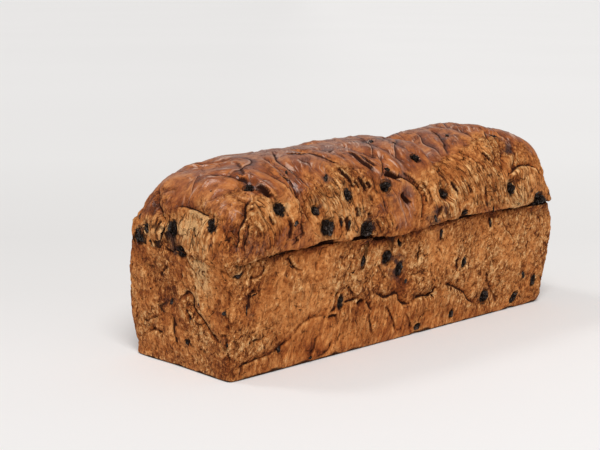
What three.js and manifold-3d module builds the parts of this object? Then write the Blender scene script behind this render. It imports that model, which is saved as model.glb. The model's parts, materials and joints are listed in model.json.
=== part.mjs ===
// A long tin loaf of currant bread.
//
// The tin gave the lower part its drafted, nearly square block, whose far end
// leans out further than the rest. Above the rim the dough swelled into a full
// crown that laps the long walls as a ledge, and the strands it was rolled from
// meet in folds across the crown and in low seams along the wall. Each currant that
// breaks through the crust is a piece of its own and lies in a pocket with a thin
// gap all round.
//
// Millimetres. +X runs along the loaf, -Y is its front wall, +Z is up. The sizes
// are laid out from the middle of the tin's bottom; at the end the loaf is moved so
// that the origin lies under the middle of the whole.

import * as THREE from 'three';
import { mergeVertices } from 'three/addons/utils/BufferGeometryUtils.js';
import Module from 'manifold-3d';

// ---- Driving dimensions -----------------------------------------------------

const TIN_LENGTH = 280; // of the flat bottom
const TIN_WIDTH = 86;
const TIN_DEPTH = 71.5; // height of the rim, where the crown starts
const DRAFT = 0.036; // how far each wall leans out, per millimetre of height
const BOTTOM_RADIUS = 2;
const WALL_SQUARENESS = 20; // exponent of the outline at the vertical corners
const WALL_CORNER = 30; // length over which that exponent rounds a corner
const SQUARE_UP_TO = 0.6; // share of the rim's height where the corners start to round into the crown

const LEDGE_SIDE = 4; // how far the crown laps the long walls
const LEDGE_END = 2.3; // and the ends
const LEDGE_DROP = 3.2; // height of the rounded underside of the ledge

// How much further than the others the +X end leans out, at heights up to the rim.
const FAR_HEIGHTS = [ 0, 14, 30, 52, TIN_DEPTH ];
const FAR_SWELLS = [ 0, 2.6, 8.6, 10.8, 8 ];
const FAR_FALL = 0.84; // share of it that is gone at the top of the crown
const FAR_ROUNDING = 1.3; // how much sooner that end takes the crown's rounder corners

// Behind the -X end the wall swells until it meets the ledge.
const MELTED_FROM = 0.80; // share of the half length
const MELTED_TO = 0.95;
const MELTED_SWELL = 2.8; // of the wall
const MELTED_LEDGE = - 0.3; // of the ledge, which it draws in
const MELTED_BULGE = 1.6; // of that end itself

const CROWN_FULLNESS = 3.2; // exponent of the crown's cross-section
const CROWN_SQUARENESS = 5.5; // exponent of the crown's outline from above
const RIM_SHARE = 0.7; // how far the outline has gone from the wall's to the crown's at the rim
const MELTED_ROUNDING = 1.2; // how much rounder the melted corner is
const CROWN_ROUND_LEFT = 47; // length over which the crown falls at its -X end
const CROWN_ROUND_RIGHT = 49;
const CROWN_TOP_ANGLE = THREE.MathUtils.degToRad( 50 ); // where the walls' grid hands over to the top's

// Height of the ridge at places along the loaf: a long near roll, then a second,
// higher swell at the far end.
const RIDGE_PLACES = [ - 145, - 112, - 96, - 70, - 30, 0, 25, 45, 70, 100, 125, 145 ];
const RIDGE_HEIGHTS = [ 100.5, 114.8, 116.2, 117.6, 117.8, 119.8, 119.6, 114.4, 119.4, 122.6, 120.4, 117.6 ];

const WRAP_HEIGHT = 68; // of the line that places on the crown are turned round

const GRID_ALONG = 40;
const GRID_ACROSS = 12;
const WALL_ROWS = 4;
const CROWN_ROWS = 6;

const SWELL = 1.1; // gentle unevenness of the whole crust
const POCKET_GAP = 0.35; // between a currant and the dough around it

// ---- Folds ------------------------------------------------------------------

// A path on the crown is given as [ place along X, wrap ], where wrap is the angle
// in degrees round the line WRAP_HEIGHT up the middle of the loaf: 0 just under the
// front ledge, 90 on the ridge, 180 just under the back ledge. On the walls it is
// [ x, z ], and on the ends [ y, z ].
//
// At a fold the dough on the lapping side rounds down into the crease over `lap`,
// and the dough on the other side rises out of it over `ease`. `lapping` is +1
// where the lap lies on the left of the path's direction seen from outside.

const FOLDS = [
	// crown, from the -X end
	{ on: 'crown', path: [[ - 110, 68 ], [ - 115, 54 ], [ - 106, 35 ]], depth: 3.8, lap: 8, ease: 9, lapping: 1 },
	{ on: 'crown', path: [[ - 112, 116 ], [ - 108, 102 ], [ - 98, 92 ]], depth: 3.6, lap: 8, ease: 10, lapping: - 1 },
	{ on: 'crown', path: [[ - 85, 70 ], [ - 90, 52 ], [ - 82, 27 ]], depth: 3.2, lap: 9, ease: 9, lapping: - 1 },
	{ on: 'crown', path: [[ - 28, 68 ], [ - 29, 52 ], [ - 25, 42 ]], depth: 3.2, lap: 5, ease: 6, lapping: 1 },
	{ on: 'crown', path: [[ 50, 128 ], [ 52, 92 ], [ 43, 68 ], [ 32, 46 ], [ 36, 18 ]], depth: 4.6, lap: 13, ease: 14, lapping: - 1 },
	{ on: 'crown', path: [[ 104, 104 ], [ 99, 62 ], [ 97, 50 ], [ 106, 38 ]], depth: 3.4, lap: 9, ease: 10, lapping: - 1 },
	{ on: 'crown', path: [[ 78, 31 ], [ 94, 37 ], [ 110, 35 ], [ 126, 29 ]], depth: 2, lap: 7, ease: 8, lapping: - 1 },
	{ on: 'crown', path: [[ - 109, 152 ], [ - 104, 124 ], [ - 99, 98 ]], depth: 3.2, lap: 7, ease: 6, lapping: - 1 },
	{ on: 'crown', path: [[ - 34, 152 ], [ - 22, 128 ], [ - 16, 104 ]], depth: 3.2, lap: 10, ease: 9, lapping: 1 },
	{ on: 'crown', path: [[ 18, 158 ], [ 27, 120 ]], depth: 2, lap: 13, ease: 12, lapping: - 1 },
	{ on: 'crown', path: [[ 84, 158 ], [ 96, 126 ]], depth: 2.2, lap: 12, ease: 11, lapping: 1 },
	// front wall: the top of the lowest strand, and the cracks under the ledge
	{ on: 'front', path: [[ - 132, 4 ], [ - 109, 9 ], [ - 68, 24 ], [ - 36, 29 ], [ - 2, 25 ], [ 30, 26 ], [ 58, 12 ]], depth: 2.2, lap: 6, ease: 7, lapping: - 1 },
	{ on: 'front', path: [[ - 98, 64 ], [ - 90, 57 ], [ - 76, 54 ]], depth: 1.2, lap: 4, ease: 4, lapping: 1 },
	// back wall
	{ on: 'back', path: [[ - 112, 12 ], [ - 60, 26 ], [ - 12, 20 ], [ 40, 31 ], [ 104, 14 ]], depth: 2.2, lap: 6, ease: 7, lapping: 1 },
	// ends
	{ on: 'left', path: [[ - 10, 47 ], [ - 12, 39 ], [ - 24, 31 ], [ - 35, 23 ]], depth: 1.8, lap: 5, ease: 5, lapping: 1 },
	{ on: 'left', path: [[ 12, 95 ], [ - 8, 93 ], [ - 27, 91 ]], depth: 1.8, lap: 6, ease: 5, lapping: - 1 },
	{ on: 'right', path: [[ - 22, 18 ], [ 2, 30 ], [ 24, 26 ]], depth: 1.8, lap: 5, ease: 5, lapping: 1 },
];

// ---- Currants ---------------------------------------------------------------

// Where each lies, its length, width and height, its turn in degrees from the
// loaf's length, and how far it stands out of the crust.

const CURRANTS = [
	// front of the crown
	{ on: 'crown', at: [ - 71, 13 ], size: [ 12.8, 11.4, 8 ], turn: 80, out: 2.4 },
	{ on: 'crown', at: [ - 38, 7 ], size: [ 12.6, 11, 7.6 ], turn: 10, out: 2.4 },
	{ on: 'crown', at: [ - 19, 33 ], size: [ 11, 7.6, 6.8 ], turn: 12, out: 1.1 },
	{ on: 'crown', at: [ 14, 48 ], size: [ 7.8, 7, 6 ], turn: - 20, out: 2 },
	{ on: 'crown', at: [ - 52, 31 ], size: [ 9.2, 6.2, 5.4 ], turn: 100, out: 1.3 },
	{ on: 'crown', at: [ 33, 22 ], size: [ 9.8, 6, 5.4 ], turn: - 24, out: 1.3 },
	{ on: 'crown', at: [ 98, 18 ], size: [ 12, 7.4, 6.2 ], turn: 104, out: 1.6 },
	{ on: 'crown', at: [ 131, 6.4 ], size: [ 15.6, 9.6, 8.4 ], turn: 12, out: 3.0 },
	{ on: 'crown', at: [ - 79, 25 ], size: [ 7.2, 5, 4.6 ], turn: - 30, out: 1.2 },
	{ on: 'crown', at: [ - 105, 29 ], size: [ 9.2, 7.8, 6.2 ], turn: - 40, out: 1.7 },
	{ on: 'crown', at: [ - 117, 51 ], size: [ 7, 5.8, 5 ], turn: 20, out: 1.1 },
	{ on: 'crown', at: [ 103, 60 ], size: [ 7.4, 4.6, 4.4 ], turn: - 15, out: 1.2 },
	{ on: 'crown', at: [ 51, 7 ], size: [ 7, 4.2, 4.2 ], turn: 20, out: 1.1 },
	// front wall
	{ on: 'front', at: [ - 5, 62 ], size: [ 7.6, 4.2, 4.2 ], turn: 96, out: 1.1 },
	{ on: 'front', at: [ - 15, 53 ], size: [ 9.8, 8, 6.2 ], turn: 95, out: 1.2 },
	{ on: 'front', at: [ - 4, 44 ], size: [ 11.2, 6.4, 5.6 ], turn: 78, out: 1.7 },
	{ on: 'front', at: [ - 37, 54 ], size: [ 10, 3.8, 4.4 ], turn: 80, out: 1 },
	{ on: 'front', at: [ - 55, 32 ], size: [ 9.6, 4.6, 4.6 ], turn: 84, out: 1.1 },
	{ on: 'front', at: [ 80, 13 ], size: [ 11.6, 7.6, 6 ], turn: 66, out: 1.6 },
	{ on: 'front', at: [ 111, 7.6 ], size: [ 10.4, 5, 4.8 ], turn: 38, out: 1.3 },
	{ on: 'front', at: [ 132, 16 ], size: [ 9, 5.6, 4.8 ], turn: 75, out: 1.3 },
	{ on: 'front', at: [ 47, 7 ], size: [ 7, 3.8, 4 ], turn: 68, out: 1 },
	{ on: 'front', at: [ 14, 4.4 ], size: [ 6.6, 4, 4 ], turn: 24, out: 1.3 },
	{ on: 'front', at: [ 56, 40 ], size: [ 9, 3.8, 4.2 ], turn: 72, out: 1 },
	{ on: 'front', at: [ - 136, 62 ], size: [ 7.8, 5.4, 5.2 ], turn: - 20, out: 1.5 },
	// left end
	{ on: 'left', at: [ 31, 74 ], size: [ 10.2, 9, 7 ], turn: - 60, out: 1.9 },
	{ on: 'left', at: [ 3, 81 ], size: [ 12.4, 9.6, 7.2 ], turn: - 70, out: 1.7 },
	{ on: 'left', at: [ - 6, 69.5 ], size: [ 8.8, 5.6, 5 ], turn: - 30, out: 1.2 },
	{ on: 'left', at: [ - 31, 87 ], size: [ 10, 5.2, 5 ], turn: - 70, out: 1.2 },
	{ on: 'left', at: [ 24, 79 ], size: [ 6.4, 4, 4 ], turn: - 75, out: 1.1 },
	// back, and the right end
	{ on: 'crown', at: [ - 88, 160 ], size: [ 10, 7.4, 6 ], turn: 70, out: 1.9 },
	{ on: 'crown', at: [ - 20, 146 ], size: [ 8.4, 6.4, 5.4 ], turn: - 20, out: 1.6 },
	{ on: 'crown', at: [ 48, 165 ], size: [ 11, 8, 6.4 ], turn: 30, out: 2.1 },
	{ on: 'crown', at: [ 104, 138 ], size: [ 7.6, 6, 5 ], turn: 80, out: 1.6 },
	{ on: 'back', at: [ - 64, 44 ], size: [ 9.6, 7, 5.6 ], turn: 60, out: 1.5 },
	{ on: 'back', at: [ 8, 52 ], size: [ 8.4, 5.6, 4.8 ], turn: - 35, out: 1.3 },
	{ on: 'back', at: [ 72, 24 ], size: [ 10.6, 6.6, 5.6 ], turn: 75, out: 1.5 },
	{ on: 'back', at: [ - 112, 18 ], size: [ 7.6, 5, 4.6 ], turn: 20, out: 1.3 },
	{ on: 'right', at: [ - 20, 44 ], size: [ 9.4, 6.6, 5.4 ], turn: 65, out: 1.4 },
	{ on: 'right', at: [ 18, 76 ], size: [ 10, 7, 5.8 ], turn: - 50, out: 1.7 },
	{ on: 'right', at: [ 14, 20 ], size: [ 7.6, 5, 4.6 ], turn: 15, out: 1.3 },
];

const ROUND_CURRANT = 10.2; // from this length on, a currant gets the finer of the two meshes

// ---- Materials --------------------------------------------------------------

const crust = new THREE.MeshStandardMaterial( { color: 0x9a5a2c, roughness: 0.6, metalness: 0, flatShading: true } );
const currantSkin = new THREE.MeshStandardMaterial( { color: 0x16110f, roughness: 0.4, metalness: 0, flatShading: true } );

// ---- The plain form ---------------------------------------------------------

const ridge = new THREE.CubicInterpolant( RIDGE_PLACES, RIDGE_HEIGHTS, 1, new Float32Array( 1 ) );

function ridgeHeight( x ) {

	const last = RIDGE_PLACES[ RIDGE_PLACES.length - 1 ];
	return ridge.evaluate( THREE.MathUtils.clamp( x, RIDGE_PLACES[ 0 ], last ) )[ 0 ];

}

const farProfile = new THREE.CubicInterpolant( FAR_HEIGHTS, FAR_SWELLS, 1, new Float32Array( 1 ) );

// The outline on the side of u and v at a height: half length, half width, the
// length over which the end rounds off, and the exponent of that rounding.
function outlineAt( height, lapSide, lapEnd, crownShare, u, v ) {

	const lean = DRAFT * Math.min( height, TIN_DEPTH );
	const upToRim = Math.min( crownShare / RIM_SHARE, 1 );
	const upCrown = Math.max( crownShare - RIM_SHARE, 0 ) / ( 1 - RIM_SHARE );

	const farSwell = u > 0 ? farProfile.evaluate( height )[ 0 ] * ( 1 - FAR_FALL * Math.pow( upCrown, 0.4 ) ) : 0;
	const bulge = u < 0 ? MELTED_BULGE * THREE.MathUtils.smoothstep( v, 0, 0.8 ) * ( 1 - upToRim ) : 0;
	const melted = v > 0 ? THREE.MathUtils.smoothstep( - u, MELTED_FROM, MELTED_TO ) : 0;
	const meltedSide = THREE.MathUtils.lerp( MELTED_SWELL, MELTED_LEDGE, upToRim ) * THREE.MathUtils.smoothstep( height, 0, 26 );

	const crownRound = u < 0 ? CROWN_ROUND_LEFT : CROWN_ROUND_RIGHT + farSwell;
	const rounding = u < 0 ? crownShare : Math.min( FAR_ROUNDING * crownShare, 1 );
	return {
		halfLength: TIN_LENGTH / 2 + lean + lapEnd + farSwell + bulge,
		halfWidth: TIN_WIDTH / 2 + lean + THREE.MathUtils.lerp( lapSide, meltedSide, melted ),
		round: THREE.MathUtils.lerp( WALL_CORNER, crownRound, crownShare ),
		squareness: THREE.MathUtils.lerp( WALL_SQUARENESS, CROWN_SQUARENESS - MELTED_ROUNDING * melted, rounding ),
	};

}

// A place on the square grid [ -1, 1 ] x [ -1, 1 ], carried onto the outline. The
// share m is 1 on the outline and shrinks it towards the ridge.
function carry( u, v, outline, m ) {

	const { halfLength, halfWidth, round, squareness } = outline;
	const flat = halfLength - round;
	const along = Math.abs( u ) * halfLength;

	let cx = Math.max( 0, along - flat ) / round;
	let cy = Math.abs( v );
	const reach = Math.max( cx, cy );
	if ( reach > 0 ) {

		const pull = m * reach / Math.pow( Math.pow( cx, squareness ) + Math.pow( cy, squareness ), 1 / squareness );
		cx *= pull;
		cy *= pull;

	}

	const x = along > flat ? flat + round * cx : along;
	return [ Math.sign( u ) * x, Math.sign( v ) * halfWidth * cy, Math.pow( Math.pow( cx, squareness ) + Math.pow( cy, squareness ), 1 / squareness ) ];

}

function crownHeight( x, m ) {

	const rise = Math.pow( Math.max( 0, 1 - Math.pow( m, CROWN_FULLNESS ) ), 1 / CROWN_FULLNESS );
	return TIN_DEPTH + ( ridgeHeight( x ) - TIN_DEPTH ) * rise;

}

const TOP_SHARE = Math.pow( Math.cos( CROWN_TOP_ANGLE ), 2 / CROWN_FULLNESS );

// The rows of the walls' grid from the floor up: each says at which height and on
// which outline it lies, and the crown's rows by their share m instead.
function wallRows() {

	const rows = [];
	const wallTop = TIN_DEPTH - LEDGE_DROP;
	for ( let i = 0; i <= 2; i ++ ) {

		const turn = i / 2 * Math.PI / 2;
		const inset = BOTTOM_RADIUS * ( 1 - Math.sin( turn ) );
		rows.push( { z: BOTTOM_RADIUS * ( 1 - Math.cos( turn ) ), lapSide: - inset, lapEnd: - inset, crownShare: 0 } );

	}

	for ( let i = 1; i <= WALL_ROWS; i ++ ) {

		const z = THREE.MathUtils.lerp( BOTTOM_RADIUS, wallTop, i / WALL_ROWS );
		const nearRim = THREE.MathUtils.smoothstep( z, SQUARE_UP_TO * TIN_DEPTH, TIN_DEPTH );
		rows.push( { z, lapSide: 0, lapEnd: LEDGE_END * nearRim, crownShare: RIM_SHARE * nearRim } );

	}

	rows.push( { z: wallTop + 0.25 * LEDGE_DROP, lapSide: 0.62 * LEDGE_SIDE, lapEnd: LEDGE_END, crownShare: RIM_SHARE } );
	rows.push( { z: TIN_DEPTH, lapSide: LEDGE_SIDE, lapEnd: LEDGE_END, crownShare: RIM_SHARE } );
	for ( let i = 1; i <= CROWN_ROWS; i ++ ) {

		const turn = CROWN_TOP_ANGLE * i / CROWN_ROWS;
		const crownShare = THREE.MathUtils.lerp( RIM_SHARE, 1, THREE.MathUtils.smoothstep( turn, 0, 0.35 ) );
		rows.push( { m: Math.pow( Math.cos( turn ), 2 / CROWN_FULLNESS ), crownShare } );

	}

	return rows;

}

const ROWS = wallRows();

function crownOutline( crownShare, u, v ) {

	return outlineAt( TIN_DEPTH, LEDGE_SIDE, LEDGE_END, crownShare, u, v );

}

// One point of the block's grid, u and v in [ -1, 1 ] and w counting rows.
function plainForm( u, v, w, isTop ) {

	const wide = Math.sign( u ) * ( 1 - Math.pow( 1 - Math.abs( u ), 1.25 ) );
	const across = Math.sin( v * Math.PI / 2 );
	const row = ROWS[ Math.round( w ) ];
	if ( isTop || row.m !== undefined ) {

		const outline = crownOutline( isTop ? 1 : row.crownShare, wide, across );
		const [ x, y, m ] = carry( wide, across, outline, isTop ? TOP_SHARE : row.m );
		return new THREE.Vector3( x, y, crownHeight( x, m ) );

	}

	const [ x, y ] = carry( wide, across, outlineAt( row.z, row.lapSide, row.lapEnd, row.crownShare, wide, across ), 1 );
	return new THREE.Vector3( x, y, row.z );

}

// ---- Places on the form -----------------------------------------------------

function isInside( p ) {

	const onCrown = p.z > TIN_DEPTH;
	const nearRim = THREE.MathUtils.smoothstep( p.z, SQUARE_UP_TO * TIN_DEPTH, TIN_DEPTH );
	const share = THREE.MathUtils.lerp( RIM_SHARE, 1, THREE.MathUtils.smoothstep( p.z, TIN_DEPTH, TIN_DEPTH + 15 ) );
	const u = p.x / ( TIN_LENGTH / 2 + 10 );
	const v = p.y / ( TIN_WIDTH / 2 + 4 );
	const outline = onCrown ? crownOutline( share, u, v ) : outlineAt( p.z, 0, LEDGE_END * nearRim, RIM_SHARE * nearRim, u, v );
	const cx = Math.max( 0, Math.abs( p.x ) - ( outline.halfLength - outline.round ) ) / outline.round;
	const cy = Math.abs( p.y ) / outline.halfWidth;
	const m = Math.pow( Math.pow( cx, outline.squareness ) + Math.pow( cy, outline.squareness ), 1 / outline.squareness );
	return onCrown ? m < 1 && p.z < crownHeight( p.x, m ) : m < 1 && p.z > 0;

}

function surfaceFrom( start, direction ) {

	let near = 0;
	let far = TIN_LENGTH;
	for ( let i = 0; i < 40; i ++ ) {

		const middle = ( near + far ) / 2;
		if ( isInside( start.clone().addScaledVector( direction, middle ) ) ) near = middle;
		else far = middle;

	}

	return start.clone().addScaledVector( direction, near );

}

function placeOn( side, [ a, b ] ) {

	if ( side === 'front' ) return surfaceFrom( new THREE.Vector3( a, 0, b ), new THREE.Vector3( 0, - 1, 0 ) );
	if ( side === 'back' ) return surfaceFrom( new THREE.Vector3( a, 0, b ), new THREE.Vector3( 0, 1, 0 ) );
	if ( side === 'left' ) return surfaceFrom( new THREE.Vector3( 0, a, b ), new THREE.Vector3( - 1, 0, 0 ) );
	if ( side === 'right' ) return surfaceFrom( new THREE.Vector3( 0, a, b ), new THREE.Vector3( 1, 0, 0 ) );
	const wrap = THREE.MathUtils.degToRad( b );
	return surfaceFrom( new THREE.Vector3( a, 0, WRAP_HEIGHT ), new THREE.Vector3( 0, - Math.cos( wrap ), Math.sin( wrap ) ) );

}

// The way out of the crust at a place, from two short steps along it.
function outwardAt( side, [ a, b ] ) {

	const step = 1.5;
	const alongA = placeOn( side, [ a + step, b ] ).sub( placeOn( side, [ a - step, b ] ) );
	const alongB = placeOn( side, [ a, b + step ] ).sub( placeOn( side, [ a, b - step ] ) );
	const outward = alongA.cross( alongB ).normalize();
	const middle = new THREE.Vector3( side === 'left' || side === 'right' ? 0 : a, 0, TIN_DEPTH / 2 );
	return outward.dot( placeOn( side, [ a, b ] ).sub( middle ) ) < 0 ? outward.negate() : outward;

}

// ---- Relief -----------------------------------------------------------------

const foldPaths = FOLDS.map( ( fold ) => ( {
	...fold,
	points: new THREE.CatmullRomCurve3( fold.path.map( ( place ) => placeOn( fold.on, place ) ) ).getPoints( 12 ),
} ) );

// Height of the crust over the plain form at a point whose way out is `outward`.
function relief( p, outward ) {

	let height = SWELL * ( Math.sin( p.x / 17 + p.z / 23 ) * Math.cos( p.y / 15 - p.x / 41 ) + 0.5 * Math.sin( p.z / 9 - p.x / 29 ) );

	for ( const fold of foldPaths ) {

		let nearest = Infinity;
		let onLap = false;
		for ( let i = 1; i < fold.points.length; i ++ ) {

			const line = new THREE.Line3( fold.points[ i - 1 ], fold.points[ i ] );
			const foot = line.closestPointToPoint( p, true, new THREE.Vector3() );
			const away = p.clone().sub( foot );
			if ( away.length() >= nearest ) continue;
			nearest = away.length();
			const direction = line.delta( new THREE.Vector3() );
			onLap = direction.cross( away ).dot( outward ) * fold.lapping > 0;

		}

		if ( onLap && nearest < fold.lap ) {

			const roundOff = 1 - nearest / fold.lap;
			height -= fold.depth * ( 1 - Math.sqrt( 1 - roundOff * roundOff ) );

		} else if ( ! onLap ) {

			height -= fold.depth * Math.exp( - Math.pow( nearest / fold.ease, 2 ) * 1.6 );

		}

	}

	return height * THREE.MathUtils.smoothstep( p.z, 1, 9 );

}

// ---- Loaf -------------------------------------------------------------------

function loafGeometry() {

	const rows = ROWS.length - 1;
	const box = new THREE.BoxGeometry( 2, 2, rows, GRID_ALONG, GRID_ACROSS, rows );
	box.deleteAttribute( 'normal' );
	box.deleteAttribute( 'uv' );
	const geometry = mergeVertices( box, 1e-4 );

	const position = geometry.attributes.position;
	for ( let i = 0; i < position.count; i ++ ) {

		const u = position.getX( i );
		const v = position.getY( i );
		const w = position.getZ( i ) + rows / 2;
		const isTop = w > rows - 0.5;
		const p = plainForm( u, v, w, isTop );
		position.setXYZ( i, p.x, p.y, p.z );

	}

	geometry.computeVertexNormals();
	const normal = geometry.attributes.normal;
	for ( let i = 0; i < position.count; i ++ ) {

		const p = new THREE.Vector3().fromBufferAttribute( position, i );
		const outward = new THREE.Vector3().fromBufferAttribute( normal, i );
		p.addScaledVector( outward, relief( p, outward ) );
		position.setXYZ( i, p.x, p.y, p.z );

	}

	geometry.deleteAttribute( 'normal' );
	return geometry;

}

// ---- Currants ---------------------------------------------------------------

// A dried currant: a flattened ball with a few broad wrinkles, its length along X
// and its height along Z. `grow` widens it on every side.
function currantGeometry( [ length, width, height ], wrinkle, grow ) {

	const ball = length >= ROUND_CURRANT ? new THREE.IcosahedronGeometry( 1, 1 ) : new THREE.OctahedronGeometry( 1, 1 );
	ball.deleteAttribute( 'normal' );
	ball.deleteAttribute( 'uv' );
	const geometry = mergeVertices( ball, 1e-4 );

	const position = geometry.attributes.position;
	for ( let i = 0; i < position.count; i ++ ) {

		const p = new THREE.Vector3().fromBufferAttribute( position, i ).normalize();
		const crease = 1 - 0.07 * ( 1 + Math.sin( 5 * p.x + 3 * p.y + wrinkle ) * Math.cos( 4 * p.y - 2 * p.z + 2 * wrinkle ) );
		position.setXYZ( i, p.x * ( crease * length / 2 + grow ), p.y * ( crease * width / 2 + grow ), p.z * ( crease * height / 2 + grow ) );

	}

	return geometry;

}

function currantPose( { on, at, size, turn, out }, crustMesh ) {

	// The crust itself, folds and all, met on the way in.
	const outward = outwardAt( on, at );
	const above = placeOn( on, at ).addScaledVector( outward, 20 );
	const surface = new THREE.Raycaster( above, outward.clone().negate() ).intersectObject( crustMesh )[ 0 ].point;
	const depth = out - size[ 2 ] * 0.46;
	const alongLoaf = on === 'left' || on === 'right' ? new THREE.Vector3( 0, 1, 0 ) : new THREE.Vector3( 1, 0, 0 );
	const along = alongLoaf.addScaledVector( outward, - alongLoaf.dot( outward ) ).normalize();
	const up = new THREE.Vector3().crossVectors( outward, along );
	if ( up.z < 0 ) {

		along.negate();
		up.negate();

	}

	const basis = new THREE.Matrix4().makeBasis( along, up, outward );
	return {
		position: surface.addScaledVector( outward, depth ),
		quaternion: new THREE.Quaternion().setFromRotationMatrix( basis )
			.multiply( new THREE.Quaternion().setFromAxisAngle( new THREE.Vector3( 0, 0, 1 ), THREE.MathUtils.degToRad( turn ) ) ),
	};

}

// ---- Cutting the pockets ----------------------------------------------------

const wasm = await Module();
wasm.setup();

function toSolid( geometry ) {

	return new wasm.Manifold( new wasm.Mesh( {
		numProp: 3,
		vertProperties: new Float32Array( geometry.attributes.position.array ),
		triVerts: new Uint32Array( geometry.index.array ),
	} ) );

}

function toGeometry( solid ) {

	const { vertProperties, triVerts } = solid.getMesh();
	const geometry = new THREE.BufferGeometry();
	geometry.setAttribute( 'position', new THREE.BufferAttribute( new Float32Array( vertProperties ), 3 ) );
	geometry.setIndex( new THREE.BufferAttribute( new Uint32Array( triVerts ), 1 ) );
	geometry.computeVertexNormals();
	return geometry;

}

// ---- Assembly ---------------------------------------------------------------

const bread = new THREE.Group();
bread.name = 'currant_bread';

const uncutLoaf = loafGeometry();
const crustMesh = new THREE.Mesh( uncutLoaf, crust );
let loafSolid = toSolid( uncutLoaf );

CURRANTS.forEach( ( currant, i ) => {

	const pose = currantPose( currant, crustMesh );
	const matrix = new THREE.Matrix4().compose( pose.position, pose.quaternion, new THREE.Vector3( 1, 1, 1 ) );
	const pocket = currantGeometry( currant.size, i, POCKET_GAP ).applyMatrix4( matrix );
	loafSolid = loafSolid.subtract( toSolid( pocket ) );

	const mesh = new THREE.Mesh( currantGeometry( currant.size, i, 0 ), currantSkin );
	mesh.name = 'currant_' + String( i + 1 ).padStart( 2, '0' );
	mesh.position.copy( pose.position );
	mesh.quaternion.copy( pose.quaternion );
	bread.add( mesh );

} );

const loaf = new THREE.Mesh( toGeometry( loafSolid ), crust );
loaf.name = 'loaf';
bread.add( loaf );

// The origin goes to the middle of the bottom of the whole.
bread.updateMatrixWorld( true );
const bounds = new THREE.Box3().setFromObject( bread, true );
const middle = bounds.getCenter( new THREE.Vector3() );
bread.position.set( - middle.x, - middle.y, - bounds.min.z );

export default bread;
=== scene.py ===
"""A long tin loaf of currant bread, with its folded crown, pitted walls and dark currants."""

import json
import math

import bpy
import numpy as np
from bpy.props import FloatProperty, FloatVectorProperty, IntProperty, PointerProperty
from mathutils import Matrix, Vector, noise
from mathutils.bvhtree import BVHTree

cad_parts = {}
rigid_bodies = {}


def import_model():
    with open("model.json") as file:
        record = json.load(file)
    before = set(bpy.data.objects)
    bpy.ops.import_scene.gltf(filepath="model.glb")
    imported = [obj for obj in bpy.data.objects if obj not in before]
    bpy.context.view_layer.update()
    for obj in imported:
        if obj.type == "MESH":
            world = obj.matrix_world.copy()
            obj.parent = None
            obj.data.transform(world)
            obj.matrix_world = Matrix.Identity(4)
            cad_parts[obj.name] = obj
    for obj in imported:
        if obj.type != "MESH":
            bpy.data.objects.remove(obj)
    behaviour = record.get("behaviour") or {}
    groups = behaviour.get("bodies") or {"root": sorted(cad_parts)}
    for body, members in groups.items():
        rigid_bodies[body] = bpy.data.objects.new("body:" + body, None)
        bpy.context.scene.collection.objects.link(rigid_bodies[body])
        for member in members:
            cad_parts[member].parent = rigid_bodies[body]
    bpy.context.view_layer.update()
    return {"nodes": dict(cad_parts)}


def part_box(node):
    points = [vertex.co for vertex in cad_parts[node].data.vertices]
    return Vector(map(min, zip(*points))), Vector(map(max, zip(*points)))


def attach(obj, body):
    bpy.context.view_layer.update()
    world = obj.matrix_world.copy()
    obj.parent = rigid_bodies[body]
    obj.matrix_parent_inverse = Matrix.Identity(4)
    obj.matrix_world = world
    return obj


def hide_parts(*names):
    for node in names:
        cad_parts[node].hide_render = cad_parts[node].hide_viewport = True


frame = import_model()

bl_info = {
    "name": "Currant Bread",
    "version": (1, 0, 0),
    "blender": (4, 5, 0),
    "location": "View3D > Sidebar > Currant Bread",
    "description": "Bakes a tin loaf of currant bread and sets it on a pale studio floor",
    "category": "Object",
}

MM = 0.001
LOAF_LOW, LOAF_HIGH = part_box("loaf")
# Sizes are laid out from the middle of the tin's bottom, which lies short of the middle
# of the whole loaf, because the far end leans out further than the near one.
TIN_MIDDLE_SHORT = 0.00479
LOAF_ORIGIN = Vector(
    ((LOAF_LOW[0] + LOAF_HIGH[0]) / 2 - TIN_MIDDLE_SHORT, (LOAF_LOW[1] + LOAF_HIGH[1]) / 2, LOAF_LOW[2])
)
CURRANT_NODES = sorted(name for name in frame["nodes"] if name.startswith("currant_"))

# Height of the crown's ridge at places along the loaf, in millimetres.
RIDGE_PLACES = (-145, -112, -96, -70, -30, 0, 25, 45, 70, 100, 125, 145)
RIDGE_HEIGHTS = (100.5, 114.8, 116.2, 117.6, 117.8, 119.8, 119.6, 114.4, 119.4, 122.6, 120.4, 117.6)

# How much further the far end leans out, at heights up to the rim.
FAR_HEIGHTS = (0, 14, 30, 52, 71.5)
FAR_SWELLS = (0, 2.6, 8.6, 10.8, 8)

# How the front ledge rises and falls along the loaf, in millimetres.
LEDGE_PLACES = (-142, -121, -93, -60, -40, -20, -2, 14, 45, 80, 105, 130, 146)
LEDGE_RISES = (-3.0, -0.6, 0.4, 0.6, -0.4, -2.2, -1.6, 0.2, 1.4, 1.6, 1.2, 0.6, 0.2)

# Places on the crown are given by the angle turned round this height of the middle, in millimetres.
WRAP_HEIGHT = 68

# The walls' outline from above: its exponent, and the length over which it rounds at an end.
WALL_SQUARENESS = 20.0
WALL_CORNER = 30.0
# How far the outline has turned from the walls' into the crown's at the rim, from 0 to 1.
RIM_SHARE = 0.7

# The ledge's rounded lip, the step under it, and the depth of its corner below the rim.
LIP_RADIUS = 2.7
LIP_STEP = 0.8
LEDGE_CORNER = 2.9

# Rows of the walls' grid on the bottom edge, under the ledge and round its lip, and the share
# of all the rows that lie on the crown's flank.
BOTTOM_ROWS = 4
UNDER_LEDGE = ((0.6, -0.5), (0.9, 0.1))
LIP_ROWS = 7
FLANK_SHARE = 0.37

# A rough half length and half width, and a distance well outside the loaf.
ROUGH_HALVES = (150, 47)
OUTSIDE = 300.0
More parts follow.
